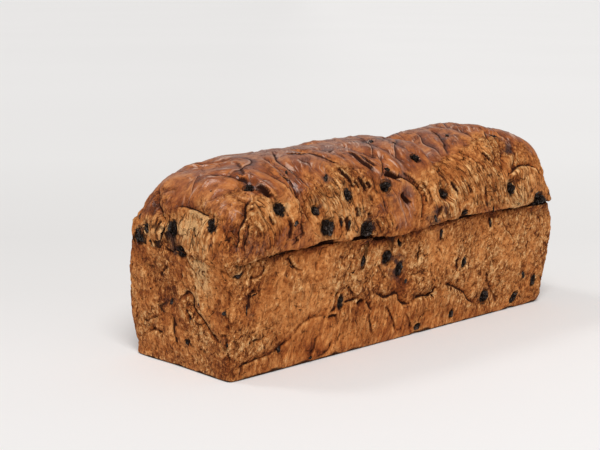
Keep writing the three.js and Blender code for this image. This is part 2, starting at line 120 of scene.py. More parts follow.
# How often the search for the crust's surface halves its step.
HALVINGS = 26

# The grain runs over the crown as over a barrel of this radius, and this far from rim to rim;
# this shift keeps the grain of the two ends apart, and no hollow goes deeper than the last.
BARREL_RADIUS = 62
RIM_TO_RIM = 195
ENDS_APART = 400
DEEPEST = 7.0

# Where the flow of the dough leans along the loaf, by the angle wrapped round the crown.
LEAN_ANGLES = (0, 50, 90, 130, 180)
LEAN_ALONG = (15, 0, 25, 45, 50)

# How far up the crown's flanks the torn crust reaches, as the angle wrapped round the crown.
TORN_PLACES = (-140, -112, -92, -76, -58, -38, -18, 4, 20, 40, 70, 100, 135)
TORN_FRONT = (38, 34, 31, 36, 44, 42, 33, 30, 36, 48, 55, 44, 34)
TORN_BACK = (30, 38, 46, 40, 30, 26, 38, 48, 52, 40, 30, 40, 34)

# Where the lowest strand of the long walls ends, in millimetres.
FRONT_STRAND_PLACES = (-135, -133, -107, -92, -80, -56, -20, 10, 40, 62)
FRONT_STRAND_TOPS = (0, 8, 12, 20, 26, 30, 29, 22, 26, 4)
BACK_STRAND_PLACES = (-130, -98, -60, -20, 4, 42, 60, 80, 106)
BACK_STRAND_TOPS = (6, 12, 28, 20, 20, 31, 25, 18, 7)


# ---- Sizes and colours ------------------------------------------------------


class TinSizes(bpy.types.PropertyGroup):
    """The tin that shaped the lower part, and the grid that the crust is modelled on."""

    length: FloatProperty(
        name="Length", description="Length of the flat bottom", default=0.280, unit="LENGTH"
    )
    width: FloatProperty(name="Width", description="Width of the flat bottom", default=0.086, unit="LENGTH")
    depth: FloatProperty(name="Depth", description="Height of the tin's rim", default=0.0715, unit="LENGTH")
    draft: FloatProperty(name="Draft", description="Lean of the walls, as a slope", default=0.036)
    bottom_radius: FloatProperty(
        name="Bottom radius", description="Radius of the bottom edge", default=0.0018, unit="LENGTH"
    )
    ledge_side: FloatProperty(
        name="Side ledge", description="How far the crown laps the long walls", default=0.004, unit="LENGTH"
    )
    ledge_end: FloatProperty(
        name="End ledge", description="How far the crown laps the ends", default=0.0023, unit="LENGTH"
    )
    columns: IntProperty(name="Columns", description="Faces along the loaf", default=270, min=20)
    across: IntProperty(name="Across", description="Faces across the loaf", default=62, min=8)
    rows: IntProperty(name="Rows", description="Faces up a wall and the crown's flank", default=120, min=30)


class CrownSizes(bpy.types.PropertyGroup):
    """The crown that rose over the rim."""

    fullness: FloatProperty(name="Fullness", description="Exponent of the cross-section", default=3.2)
    squareness: FloatProperty(
        name="Squareness", description="Exponent of the outline from above", default=5.5
    )
    round_left: FloatProperty(
        name="Left round", description="Length over which the near end falls", default=0.047, unit="LENGTH"
    )
    round_right: FloatProperty(
        name="Right round", description="Length over which the far end falls", default=0.049, unit="LENGTH"
    )
    top_angle: FloatProperty(
        name="Top angle",
        description="Angle up the flank where the walls' rows end",
        default=math.radians(50),
        subtype="ANGLE",
    )


class CrustLooks(bpy.types.PropertyGroup):
    """Colours of the baked crust, from the palest to the darkest, then the painted shade of creases and
    cracks, the painted sheen on the crown's ridges, and the juice stain.
    """

    pale: FloatVectorProperty(
        name="Pale", description="Thin torn skin", subtype="COLOR", default=(0.87, 0.485, 0.205)
    )
    golden: FloatVectorProperty(
        name="Golden", description="Torn crust", subtype="COLOR", default=(0.668, 0.268, 0.080)
    )
    tan: FloatVectorProperty(
        name="Tan", description="Crust against the tin", subtype="COLOR", default=(0.456, 0.143, 0.032)
    )
    brown: FloatVectorProperty(
        name="Brown", description="Well-baked crust", subtype="COLOR", default=(0.272, 0.066, 0.013)
    )
    chestnut: FloatVectorProperty(
        name="Chestnut", description="Glossy top", subtype="COLOR", default=(0.125, 0.026, 0.005)
    )
    # Painted shade in folds, pits, hollows, currant sockets and along the bottom edge.
    crease_shade: FloatVectorProperty(
        name="Crease",
        description="Inside of folds and pits",
        subtype="COLOR",
        default=(0.024, 0.0055, 0.002),
    )
    # Painted shade in the fine cracks between wrinkles.
    crack_shade: FloatVectorProperty(
        name="Chink",
        description="Fine cracks between wrinkles",
        subtype="COLOR",
        default=(0.10, 0.024, 0.004),
    )
    # Painted highlight: the sheen of the glaze on the crown's ridges.
    painted_sheen: FloatVectorProperty(
        name="Film",
        description="Dried glaze on the crown's ridges",
        subtype="COLOR",
        default=(0.72, 0.46, 0.34),
    )
    stain: FloatVectorProperty(
        name="Stain", description="Juice round the currants", subtype="COLOR", default=(0.052, 0.029, 0.030)
    )


class CurrantLooks(bpy.types.PropertyGroup):
    """Colours and wrinkles of the currants."""

    skin: FloatVectorProperty(
        name="Skin", description="Dried skin", subtype="COLOR", default=(0.0125, 0.0066, 0.0042)
    )
    # Painted highlight: the lighter colour of the wrinkle ridges.
    edge: FloatVectorProperty(
        name="Edge", description="Worn ridges of the skin", subtype="COLOR", default=(0.095, 0.058, 0.040)
    )
    wrinkle: FloatProperty(name="Wrinkle", description="Depth of the wrinkles, as a share", default=0.60)


class StageSizes(bpy.types.PropertyGroup):
    """The pale floor, the lights and the camera."""

    radius: FloatProperty(name="Radius", description="Radius of the floor", default=20.0, unit="LENGTH")
    distance: FloatProperty(name="Distance", description="From camera to aim", default=0.7982, unit="LENGTH")
    azimuth: FloatProperty(
        name="Azimuth",
        description="Camera's turn round the loaf",
        default=math.radians(-43.0),
        subtype="ANGLE",
    )
    elevation: FloatProperty(
        name="Elevation", description="Camera's height angle", default=math.radians(10.57), subtype="ANGLE"
    )
    lens: FloatProperty(name="Lens", description="Focal length in millimetres", default=78.0)
    aim: FloatVectorProperty(
        name="Aim", description="Point the camera looks at", default=(-0.0467, 0.0, 0.0716), unit="LENGTH"
    )


# ---- Tools ------------------------------------------------------------------


def ease(value, low, high):
    """A soft step from 0 at low to 1 at high."""
    share = np.clip((value - low) / (high - low), 0.0, 1.0)
    return share * share * (3 - 2 * share)


def each(table):
    """Every row of a table, with its side put first."""
    return [(side, *row) for side, rows in table for row in rows]


def deselect():
    if bpy.context.object and bpy.context.object.mode != "OBJECT":
        bpy.ops.object.mode_set(mode="OBJECT")
    bpy.ops.object.select_all(action="DESELECT")


def join(pieces, name):
    deselect()
    for piece in pieces:
        piece.select_set(True)
    bpy.context.view_layer.objects.active = pieces[0]
    if len(pieces) > 1:
        bpy.ops.object.join()
    joined = bpy.context.object
    joined.name = joined.data.name = name
    return joined


def in_edit_mode(piece, *steps):
    deselect()
    piece.select_set(True)
    bpy.context.view_layer.objects.active = piece
    bpy.ops.object.mode_set(mode="EDIT")
    bpy.ops.mesh.select_all(action="SELECT")
    for step in steps:
        step()
    bpy.ops.object.mode_set(mode="OBJECT")


def settle(piece, body="root"):
    """Put the piece's place into its mesh, smooth it and let it ride on the loaf."""
    deselect()
    piece.select_set(True)
    bpy.context.view_layer.objects.active = piece
    bpy.ops.object.transform_apply(location=True, rotation=True, scale=True)
    bpy.ops.object.shade_smooth()
    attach(piece, body)


def points_of(mesh):
    flat = np.empty(len(mesh.vertices) * 3)
    mesh.vertices.foreach_get("co", flat)
    return flat.reshape(-1, 3)


def move_points(mesh, points):
    mesh.vertices.foreach_set("co", np.ascontiguousarray(points, dtype=np.float32).ravel())
    mesh.update()


def normals_of(mesh):
    flat = np.empty(len(mesh.vertices) * 3)
    mesh.vertex_normals.foreach_get("vector", flat)
    return flat.reshape(-1, 3)


def smooth_noise(points, size, seed=0.0):
    """Noise from -1 to 1 at points in millimetres; size is its grain, one number or three."""
    spots = points / np.asarray(size, dtype=float) + (seed * 7.31, seed * 3.17, seed * 5.73)
    return np.fromiter((noise.noise(spot) for spot in spots.tolist()), float, count=len(spots))


def smooth_line(x, places, heights):
    """A smooth line through heights at places."""
    places = np.array(places, dtype=float)
    heights = np.array(heights, dtype=float)
    slopes = np.gradient(heights, places)
    x = np.clip(x, places[0], places[-1])
    i = np.clip(np.searchsorted(places, x) - 1, 0, len(places) - 2)
    step = places[i + 1] - places[i]
    t = (x - places[i]) / step
    return (
        heights[i] * (2 * t**3 - 3 * t**2 + 1)
        + heights[i + 1] * (3 * t**2 - 2 * t**3)
        + slopes[i] * step * (t**3 - 2 * t**2 + t)
        + slopes[i + 1] * step * (t**3 - t**2)
    )


def ridged(value, sharpness=1.0):
    return np.clip(1 - np.abs(value) * 2.4, 0, 1) ** sharpness


def rounded(value):
    """Rounded strands, about 0 high on the whole, between sharp creases where the noise changes sign."""
    return np.sqrt(np.clip(np.abs(value) * 2.8, 0, 1)) - 0.6


def creased(value):
    """1 in the creases between rounded strands."""
    return np.exp(-((value / 0.055) ** 2))


def sheets(value, mask, fall=0.14):
    """Overlapping sheets, one to each whole step of the value: a slow rise, then a sharp fall."""
    share = value - np.floor(value)
    return mask * np.where(share < 1 - fall, (share / (1 - fall)) ** 1.6, 1 - ease(share, 1 - fall, 1))


# ---- The plain form of the loaf ---------------------------------------------


class LoafForm:
    """The loaf without its relief: a drafted block with a crown, in millimetres."""

    def __init__(self, tin, crown):
        self.half_length = tin.length / MM / 2
        self.half_width = tin.width / MM / 2
        self.rim = tin.depth / MM
        self.draft = tin.draft
        self.bottom_radius = tin.bottom_radius / MM
        self.lap_side = tin.ledge_side / MM
        self.lap_end = tin.ledge_end / MM
        self.fullness = crown.fullness
        self.squareness = crown.squareness
        self.rounds = (crown.round_left / MM, crown.round_right / MM)
        self.top_angle = crown.top_angle
        self.square_up_to = 0.6 * self.rim

    def ridge(self, x):
        return smooth_line(x, RIDGE_PLACES, RIDGE_HEIGHTS)

    def outline(self, height, lap_side, lap_end, crown_share, u, v):
        """Half length, half width, rounding length and exponent of the outline at a height."""
        lean = self.draft * np.minimum(height, self.rim)
        up_to_rim = np.minimum(crown_share / RIM_SHARE, 1)
        up_crown = np.maximum(crown_share - RIM_SHARE, 0) / (1 - RIM_SHARE)
        far_swell = smooth_line(height, FAR_HEIGHTS, FAR_SWELLS) * (1 - 0.84 * up_crown**0.4)
        far_swell = np.where(u > 0, far_swell, 0)
        bulge = np.where(u < 0, 1.6 * ease(v, 0, 0.8) * (1 - up_to_rim), 0)
        # Behind the near end the ledge melts into a wall that swells out to meet it.
        melted = np.where(v > 0, ease(-u, 0.80, 0.95), 0)
        melted_side = (2.8 - 3.1 * up_to_rim) * ease(height, 0, 26)
        round_end = np.where(u < 0, self.rounds[0], self.rounds[1] + far_swell)
        rounding = np.where(u < 0, crown_share, np.minimum(1.3 * crown_share, 1))
        corner = self.squareness - 1.2 * melted
        return (
            self.half_length + lean + lap_end + far_swell + bulge,
            self.half_width + lean + lap_side + (melted_side - lap_side) * melted,
            WALL_CORNER + (round_end - WALL_CORNER) * crown_share,
            WALL_SQUARENESS + (corner - WALL_SQUARENESS) * rounding,
        )

    def carry(self, u, v, outline, m):
        """Carry the square grid onto the outline; m is 1 on it and shrinks towards the ridge."""
        half_length, half_width, round_end, power = outline
        flat = half_length - round_end
        along = np.abs(u) * half_length
        cx = np.maximum(0, along - flat) / round_end
        cy = np.abs(v)
        reach = np.maximum(cx, cy)
        size = np.maximum((cx**power + cy**power) ** (1 / power), 1e-9)
        pull = m * reach / size
        cx = cx * pull
        cy = cy * pull
        x = np.where(along > flat, flat + round_end * cx, along)
        return np.sign(u) * x, np.sign(v) * half_width * cy, (cx**power + cy**power) ** (1 / power)

    def crown_height(self, x, m):
        rise = np.clip(1 - np.clip(m, 0, 1) ** self.fullness, 0, 1) ** (1 / self.fullness)
        return self.rim + (self.ridge(x) - self.rim) * rise

    def rows(self, count):
        """Height, side lap, end lap, crown share and m for each row of the walls' grid."""
        made = []
        radius = self.bottom_radius
        for turn in np.linspace(0, math.pi / 2, BOTTOM_ROWS):
            inset = radius * (1 - math.sin(turn))
            made.append((radius * (1 - math.cos(turn)), -inset, -inset, 0.0, 1.0))
        wall_top = self.rim - LIP_RADIUS - LIP_STEP
        flank_rows = round(count * FLANK_SHARE)
        wall_rows = count - (BOTTOM_ROWS - 1) - len(UNDER_LEDGE) - LIP_ROWS - flank_rows
        for z in np.linspace(radius, wall_top, wall_rows + 1)[1:]:
            near_rim = float(ease(z, self.square_up_to, self.rim))
            made.append((z, 0.0, self.lap_end * near_rim, RIM_SHARE * near_rim, 1.0))
        # The underside of the ledge: into the corner, then out round the lip.
        for up, out in UNDER_LEDGE:
            made.append((wall_top + up, out, self.lap_end, RIM_SHARE, 1.0))
        for turn in np.linspace(-math.pi / 2, 0, LIP_ROWS):
            out = self.lap_side - LIP_RADIUS * (1 - math.cos(turn))
            made.append((self.rim + LIP_RADIUS * math.sin(turn), out, self.lap_end, RIM_SHARE, 1.0))
        for turn in np.linspace(0, self.top_angle, flank_rows + 1)[1:]:
            m = math.cos(turn) ** (2 / self.fullness)
            share = RIM_SHARE + (1 - RIM_SHARE) * float(ease(turn, 0, 0.35))
            made.append((self.rim, self.lap_side, self.lap_end, share, m))
        return np.array(made)

    def shape(self, grid, row_count):
        """Carry a box of corners (-1, -1, 0) to (1, 1, row_count) onto the plain form."""
        u = np.sign(grid[:, 0]) * (1 - (1 - np.abs(grid[:, 0])) ** 1.08)
        v = np.sin(grid[:, 1] * math.pi / 2)
        row = np.clip(np.round(grid[:, 2]).astype(int), 0, row_count)
        height, lap_side, lap_end, share, m = self.rows(row_count)[row].T
        x, y, reach = self.carry(u, v, self.outline(height, lap_side, lap_end, share, u, v), m)
        z = np.where(m < 1, self.crown_height(x, reach), height)
        top = row == row_count
        inner = top & (np.maximum(np.abs(grid[:, 0]), np.abs(grid[:, 1])) < 1 - 1e-6)
        z = np.where(inner, self.crown_height(x, reach), z)
        z += self.ledge_rise(x, v) * np.exp(-(((z - self.rim) / 9) ** 2))
        return np.stack([x, y, z], 1)

    def ledge_rise(self, x, v):
        """How far the ledge lies over the rim's height; v is -1 at the front and 1 at the back."""
        front = smooth_line(x, LEDGE_PLACES, LEDGE_RISES)
        back = 0.9 * np.sin(x / 27) - 0.6 * np.sin(x / 11)
        return front * ease(-v, 0.1, 0.9) + back * ease(v, 0.1, 0.9)

    def is_inside(self, p):
        x, y, z = p
        u, v = x / ROUGH_HALVES[0], y / ROUGH_HALVES[1]
        on_crown = z > self.rim
        near_rim = float(ease(z, self.square_up_to, self.rim))
        if on_crown:
            share = RIM_SHARE + (1 - RIM_SHARE) * float(ease(z, self.rim, self.rim + 15))
            outline = self.outline(self.rim, self.lap_side, self.lap_end, share, u, v)
        else:
            outline = self.outline(z, 0.0, self.lap_end * near_rim, RIM_SHARE * near_rim, u, v)
        half_length, half_width, round_end, power = (float(part) for part in outline)
        cx = max(0.0, abs(x) - (half_length - round_end)) / round_end
        cy = abs(y) / half_width
        m = (cx**power + cy**power) ** (1 / power)
        if on_crown:
            return m < 1 and z < float(self.crown_height(np.array(x), m))
        return m < 1 and z > 0

    def place(self, side, a, b):
        """A point of the crust: (x, wrap angle) on the crown, (x, z) on a wall, (y, z) on an end."""
        if side == "crown":
            wrap = math.radians(b)
            start, toward = (a, 0.0, WRAP_HEIGHT), (0.0, -math.cos(wrap), math.sin(wrap))
        elif side in ("front", "back"):
            start, toward = (a, 0.0, b), (0.0, -1.0 if side == "front" else 1.0, 0.0)
        else:
            start, toward = (0.0, a, b), (-1.0 if side == "left" else 1.0, 0.0, 0.0)
        near, far = 0.0, OUTSIDE
        for _ in range(HALVINGS):
            middle = (near + far) / 2
            inside = self.is_inside([s + t * middle for s, t in zip(start, toward)])
            near, far = (middle, far) if inside else (near, middle)
        return np.array([s + t * near for s, t in zip(start, toward)])


# ---- Folds, seams and dents -------------------------------------------------

# The tables below give, for each side of the loaf, rows in millimetres. Places are (x, degrees
# round the crown) on the crown, (x, height) on the long walls and (y, height) on the ends.
#
# A fold is (path, depth, lap, rise, lapping side): the dough on the lapping side rounds down
# into the crease over `lap`, and the dough on the other side rises out of it over `rise`.
# Lapping is +1 where the lap lies on the left of the path.

FOLDS = (
    ("crown", (
        # over the crown, from the near end
        (((-118, 65), (-115, 59), (-113, 51), (-110, 43), (-106, 35)), 3.4, 3.0, 7, 1),
        (((-122, 84), (-121, 72), (-119, 64), (-116, 57)), 1.6, 6, 4, -1),
        (((-100, 88), (-105, 76), (-111, 65), (-115, 57)), 1.4, 4, 5, 1),
        (((-112, 118), (-109, 104), (-103, 96), (-97, 91)), 3.6, 5, 8, -1),
        (
            ((-82, 84), (-88, 68), (-92, 54), (-91, 42), (-91, 35),
             (-89, 28), (-86, 24), (-82, 14)),
            3.8, 4, 7, -1,
        ),
        (((-104, 66), (-99, 52), (-95, 41), (-92, 30), (-92, 14)), 1.6, 5, 6, -1),
        (((-60, 102), (-72, 84), (-80, 73), (-84, 58), (-84, 47), (-80, 36)), 1.8, 5, 6, -1),
        (((-50, 92), (-50, 76), (-52, 62), (-47, 50)), 1.6, 7, 6, 1),
        (((-36, 92), (-40, 78), (-41, 66), (-36, 54)), 1.2, 8, 5, -1),
        (((-14, 90), (-18, 76), (-20, 62), (-16, 50)), 1.8, 9, 6, -1),
        (((10, 96), (2, 80), (-4, 66), (-3, 52), (4, 42)), 1.6, 8, 6, -1),
        (
            ((52, 140), (53, 118), (54, 100), (51, 88), (45, 74),
             (34, 60), (30, 50), (30, 38), (35, 22)),
            5.0, 9, 12, -1,
        ),
        (((26, 92), (16, 74), (12, 58), (18, 46)), 1.4, 9, 5, -1),
        (((80, 98), (73, 84), (62, 68), (54, 56), (50, 48)), 1.7, 7, 6, -1),
        (((91, 108), (87, 84), (83, 67), (80, 54)), 2.0, 7, 6, -1),
        (((94, 92), (98, 62), (106, 51), (110, 42), (106, 36), (95, 30)), 2.6, 5, 7, -1),
        (((106, 112), (103, 84), (99, 60), (96, 45), (90, 36), (91, 27)), 2.0, 6, 6, -1),
        (((98, 66), (92, 57), (89, 48), (87, 40), (79, 33)), 2.4, 6, 7, -1),
        (((118, 96), (112, 76), (108, 58), (112, 46)), 1.6, 7, 6, -1),
        (((92, 26), (98, 29), (105, 32), (112, 33), (122, 32), (133, 27)), 2.2, 4, 6, -1),
        (((-56, 84), (-52, 88), (-47, 80)), 1.4, 5, 4, 1),
        # rims round the smooth patches of the front flank
        (((-13, 60), (-14, 48), (-21, 38), (-23, 26), (-22, 12)), 1.7, 4, 5, -1),
        (((-16, 42), (-8, 38), (1, 34), (7, 28), (11, 23), (10, 17), (9, 11), (5, 3)), 2.4, 4, 4, -1),
        (((-6, 42), (1, 37), (7, 32), (11, 27), (15, 21), (16, 14)), 1.4, 3, 3, 1),
        (((10, 34), (14, 29), (18, 23), (19, 16)), 1.2, 3, 3, 1),
        (((26, 34), (32, 24), (35, 12), (33, 2)), 1.3, 4, 4, -1),
        (((-128, 26), (-131, 19), (-134, 12), (-135, 4)), 1.6, 3, 3, 1),
        (((-129, 14), (-128, 21), (-124, 22), (-122, 14)), 1.0, 3, 3, 1),
        # the lobe over the near front corner, and the skin that hangs down beside it
        (((-121, 41), (-127, 35), (-131, 26), (-135, 21), (-137, 13), (-137, 4)), 2.6, 6, 5, 1),
        (((-139, 36), (-140, 26), (-141, 12), (-139, 3)), 1.0, 4, 4, -1),
        # back of the crown
        (((-109, 152), (-104, 124), (-99, 104)), 3.4, 6, 6, -1),
        (((-62, 168), (-58, 144), (-48, 120), (-44, 104)), 2.2, 7, 7, -1),
        (((-34, 160), (-22, 128), (-16, 104)), 3.4, 8, 9, 1),
        (((18, 166), (22, 138), (27, 116)), 2.6, 9, 9, -1),
        (((84, 162), (92, 138), (96, 118)), 3.0, 8, 9, 1),
        (((120, 160), (116, 136), (108, 116)), 2.0, 6, 6, 1),
    )),
    ("front", (
        # the top of the lowest strand, then cracks and the rims of patches
        (((-137, 5), (-133, 8), (-119, 10), (-107, 12), (-97, 17), (-92, 20)), 1.3, 3, 3, -1),
        (((-95, 19), (-88, 24), (-80, 27), (-72, 27), (-65, 26)), 1.0, 4, 4, -1),
        (((-66, 26), (-60, 28), (-56, 31), (-46, 32), (-35, 31)), 1.8, 4, 4, -1),
        (((-127, 20), (-123, 22), (-116, 21), (-116, 25)), 1.0, 2, 2, 1),
        (((-34, 30), (-31, 26), (-28, 22)), 1.8, 3, 3, -1),
        (((-27, 34), (-21, 31), (-17, 28), (-9, 29), (-3, 29), (-2, 24), (4, 20), (10, 23)), 2.6, 4, 5, -1),
        (((10, 23), (20, 24), (26, 22), (31, 29)), 2.2, 4, 5, -1),
        (((35, 29), (44, 27), (50, 24), (58, 20), (65, 13), (74, 8)), 1.9, 4, 5, -1),
        (((81, 33), (82, 25), (86, 17), (95, 9)), 1.3, 4, 4, 1),
        (((-98, 67), (-95, 62), (-91, 58), (-85, 56)), 1.3, 4, 3, 1),
        (((-118, 66), (-116, 61), (-121, 58), (-128, 58)), 1.3, 3, 3, 1),
        (((-49, 44), (-46, 36), (-42, 29), (-33, 31)), 1.6, 5, 4, 1),
        (((-56, 41), (-61, 33), (-60, 27)), 1.2, 3, 3, -1),
        (((-24, 52), (-20, 44), (-14, 40)), 1.2, 3, 3, 1),
        (((-30, 22), (-29, 14), (-27, 7)), 1.5, 3, 3, 1),
        (((-74, 16), (-75, 9), (-79, 2)), 1.2, 3, 3, 1),
        (((-61, 11), (-63, 5), (-67, 3), (-74, 2)), 1.2, 2.5, 2.5, 1),
        (((-14, 24), (-10, 16), (-6, 6)), 1.3, 3, 4, 1),
        (((2, 16), (8, 10), (11, 2)), 1.2, 3, 4, 1),
        (((94, 64), (97, 58), (106, 51), (108, 44)), 1.3, 3, 3, -1),
        (((12, 60), (15, 52), (11, 45)), 1.2, 3, 3, 1),
        (((-140, 58), (-140, 40), (-140, 20), (-139, 5)), 0.8, 2.5, 2.5, 1),
    )),
    ("back", (
        (((-128, 8), (-112, 12), (-98, 11), (-86, 17), (-74, 20)), 1.5, 4, 5, 1),
        (((-73, 25), (-58, 28), (-46, 24), (-34, 26), (-30, 21), (-20, 19)), 2.4, 4, 5, 1),
        (((-14, 20), (-5, 23), (4, 19), (10, 25), (22, 29)), 1.7, 4, 5, 1),
        (((27, 26), (42, 32), (52, 30), (58, 24), (72, 25), (80, 18), (94, 15), (104, 9)), 2.2, 4, 5, 1),
        (((-84, 62), (-72, 50), (-70, 38)), 1.6, 4, 4, 1),
        (((54, 60), (48, 50), (56, 42), (70, 40)), 1.6, 4, 4, -1),
        (((-20, 58), (-8, 52), (2, 44)), 1.4, 4, 4, -1),
    )),
    ("left", (
        (((0, 38), (-4, 43), (-9, 48), (-14, 44), (-14, 38), (-24, 31), (-38, 20)), 1.9, 6, 3, 1),
        (((4, 31), (5, 22), (2, 12)), 1.5, 4, 3, -1),
        (((35, 24), (30, 21), (24, 26), (16, 28)), 1.2, 3, 3, -1),
        (((31, 15), (22, 19), (13, 18)), 1.2, 3, 3, -1),
        (((15, 51), (11, 56), (6, 60)), 1.2, 3, 3, -1),
        (((-6, 60), (-4, 52)), 1.1, 2.5, 2.5, 1),
        (((28, 76), (20, 71), (10, 71), (-2, 66)), 1.6, 8, 4, 1),
        (((33, 103), (27, 99), (20, 94), (12, 88), (6, 82), (-1, 79), (-8, 78), (-13, 81)), 2.4, 5, 5, 1),
        (((4, 94), (-7, 94.5), (-15, 94), (-22, 93), (-30, 91)), 2.6, 2.5, 6, -1),
    )),
    ("right", (
        (((-22, 18), (2, 30), (24, 26)), 1.8, 5, 5, 1),
        (((-30, 70), (-14, 60), (6, 66), (20, 58)), 1.6, 5, 5, 1),
    )),
)

# How far from a crease its edges and shade reach, the depth from which one is fully marked,
# and the grain of its wandering, in millimetres
SEAM_REACH = 3.6
MARKED_DEPTH = 2.2
WANDER_GRAIN = 7.0

# Narrow tears: (path, depth, half width)
TEARS = (
    ("crown", (
        (((-28, 66), (-29, 58), (-30, 51), (-27, 47), (-24, 42)), 2.8, 1.7),
        (((-24, 60), (-25, 52), (-21, 46)), 1.6, 1.3),
        (((-67, 80), (-63, 73), (-57, 70)), 2.0, 1.5),
        (((-51, 50), (-49, 43), (-47, 39), (-46, 34)), 2.2, 1.5),
        (((-44, 40), (-42, 34)), 1.8, 1.2),
        (((-40, 42), (-38, 37), (-36, 31)), 2.6, 1.5),
        (((-35, 38), (-33, 33)), 2.2, 1.3),
        (((-17, 41.5), (-12, 40), (-9, 38), (-5, 34)), 4.4, 2.8),
        (((-6, 28), (-4, 24), (0, 19)), 3.4, 2.4),
        (((-115, 55), (-113, 48), (-111, 42), (-107, 36)), 3.4, 2.8),
        (((-93, 56), (-91, 48), (-91, 40)), 2.6, 1.7),
        (((-60, 19), (-59, 11)), 2.6, 1.3),
        (((-55, 19), (-53, 7)), 3.0, 1.5),
        (((-47, 24), (-45, 16)), 2.0, 1.3),
        (((-36, 19), (-32, 11)), 2.4, 1.5),
        (((-101, 25), (-99, 17), (-101, 9)), 1.8, 1.4),
        (((-96, 12), (-94, 6)), 1.8, 1.2),
        (((-115, 27), (-112, 20)), 1.5, 1.2),
        (((-92, 20), (-90, 10)), 1.6, 1.2),
        (((27, 16), (24, 9), (20, 4)), 1.8, 1.5),
        (((39, 30), (43, 22)), 1.8, 1.3),
        (((55, 26), (57, 19)), 1.6, 1.2),
        (((71, 24), (70, 14)), 1.6, 1.2),
        (((76, 46), (80, 38)), 1.8, 1.3),
    )),
    ("front", (
        (((-120, 50), (-126, 50), (-127, 46), (-127, 39)), 1.8, 1.0),
        (((-98, 67), (-95, 62), (-91, 58)), 1.3, 0.9),
        (((24, 25), (29, 22)), 2.8, 2.0),
        (((-42, 28), (-36, 32)), 2.2, 1.6),
        (((-65, 25), (-57, 25)), 1.8, 1.3),
        (((32, 66), (33, 57)), 2.4, 1.3),
        (((81, 67), (83, 59)), 2.4, 1.2),
        (((48, 44), (50, 36)), 1.6, 1.2),
        (((-140, 24), (-136, 23.5), (-135, 21), (-139, 18)), 1.0, 0.8),
    )),
    ("left", (
        (((-9, 37), (-12, 30)), 1.8, 1.1),
        (((-8, 20), (-11, 15)), 1.6, 1.3),
        (((38, 90), (34, 83)), 1.8, 1.3),
        (((-16, 85), (-20, 80)), 1.5, 1.1),
        (((-34, 92), (-36, 83)), 2.2, 1.4),
        (((-36, 26), (-40, 28), (-42, 24), (-41, 19), (-37, 20)), 1.2, 0.8),
        (((-41, 43), (-42, 36)), 1.0, 0.9),
    )),
)

# Dents and lumps: (place, radius along, radius up, height)
DENTS = (
    ("crown", (
        ((-3, 25), 5.0, 6.0, -3.4),
        ((-12, 40), 4.5, 3.5, -1.6),
        ((-110, 96), 9.0, 14.0, -2.0),
        ((-115, 118), 8.0, 15.0, -2.6),
        ((-96, 98), 8.0, 12.0, 0.8),
        ((-143, 160), 7.0, 9.0, -2.2),
        ((-130, 74), 12.0, 16.0, 1.6),
        ((-133, 34), 7.0, 12.0, 1.4),
        ((108, 20), 15.0, 13.0, 2.2),
        ((104, 43), 6.0, 6.0, -2.4),
        ((-12, 12), 9.0, 14.0, 1.2),
        ((-92, 24), 6.0, 22.0, 1.2),
        ((-110, 18), 10.0, 12.0, 0.8),
    )),
    ("left", (
        ((-12, 86), 9.0, 5.0, -1.2),
        ((18, 84), 12.0, 10.0, 1.2),
        ((-4, 32), 5.0, 12.0, 1.2),
        ((-12, 74), 8.0, 7.0, 0.8),
        ((8, 40), 6.0, 6.0, -1.0),
        ((-42, 22), 6.0, 5.0, 1.2),
    )),
    ("front", (
        ((-124, 42), 5.0, 10.0, -1.2),
        ((-122, 59), 5.0, 4.0, 1.0),
        ((-71, 54), 12.0, 9.0, 1.2),
        ((-42, 36), 7.0, 7.0, 1.4),
        ((-62, 32), 5.0, 4.0, 1.0),
        ((20, 32), 12.0, 7.0, 1.2),
        ((50, 48), 10.0, 9.0, 0.8),
        ((-6, 24), 5.0, 4.0, -1.0),
    )),
    ("back", (
        ((-60, 46), 14.0, 10.0, 1.4),
        ((30, 48), 12.0, 10.0, 1.4),
        ((90, 34), 12.0, 9.0, 1.2),
    )),
)
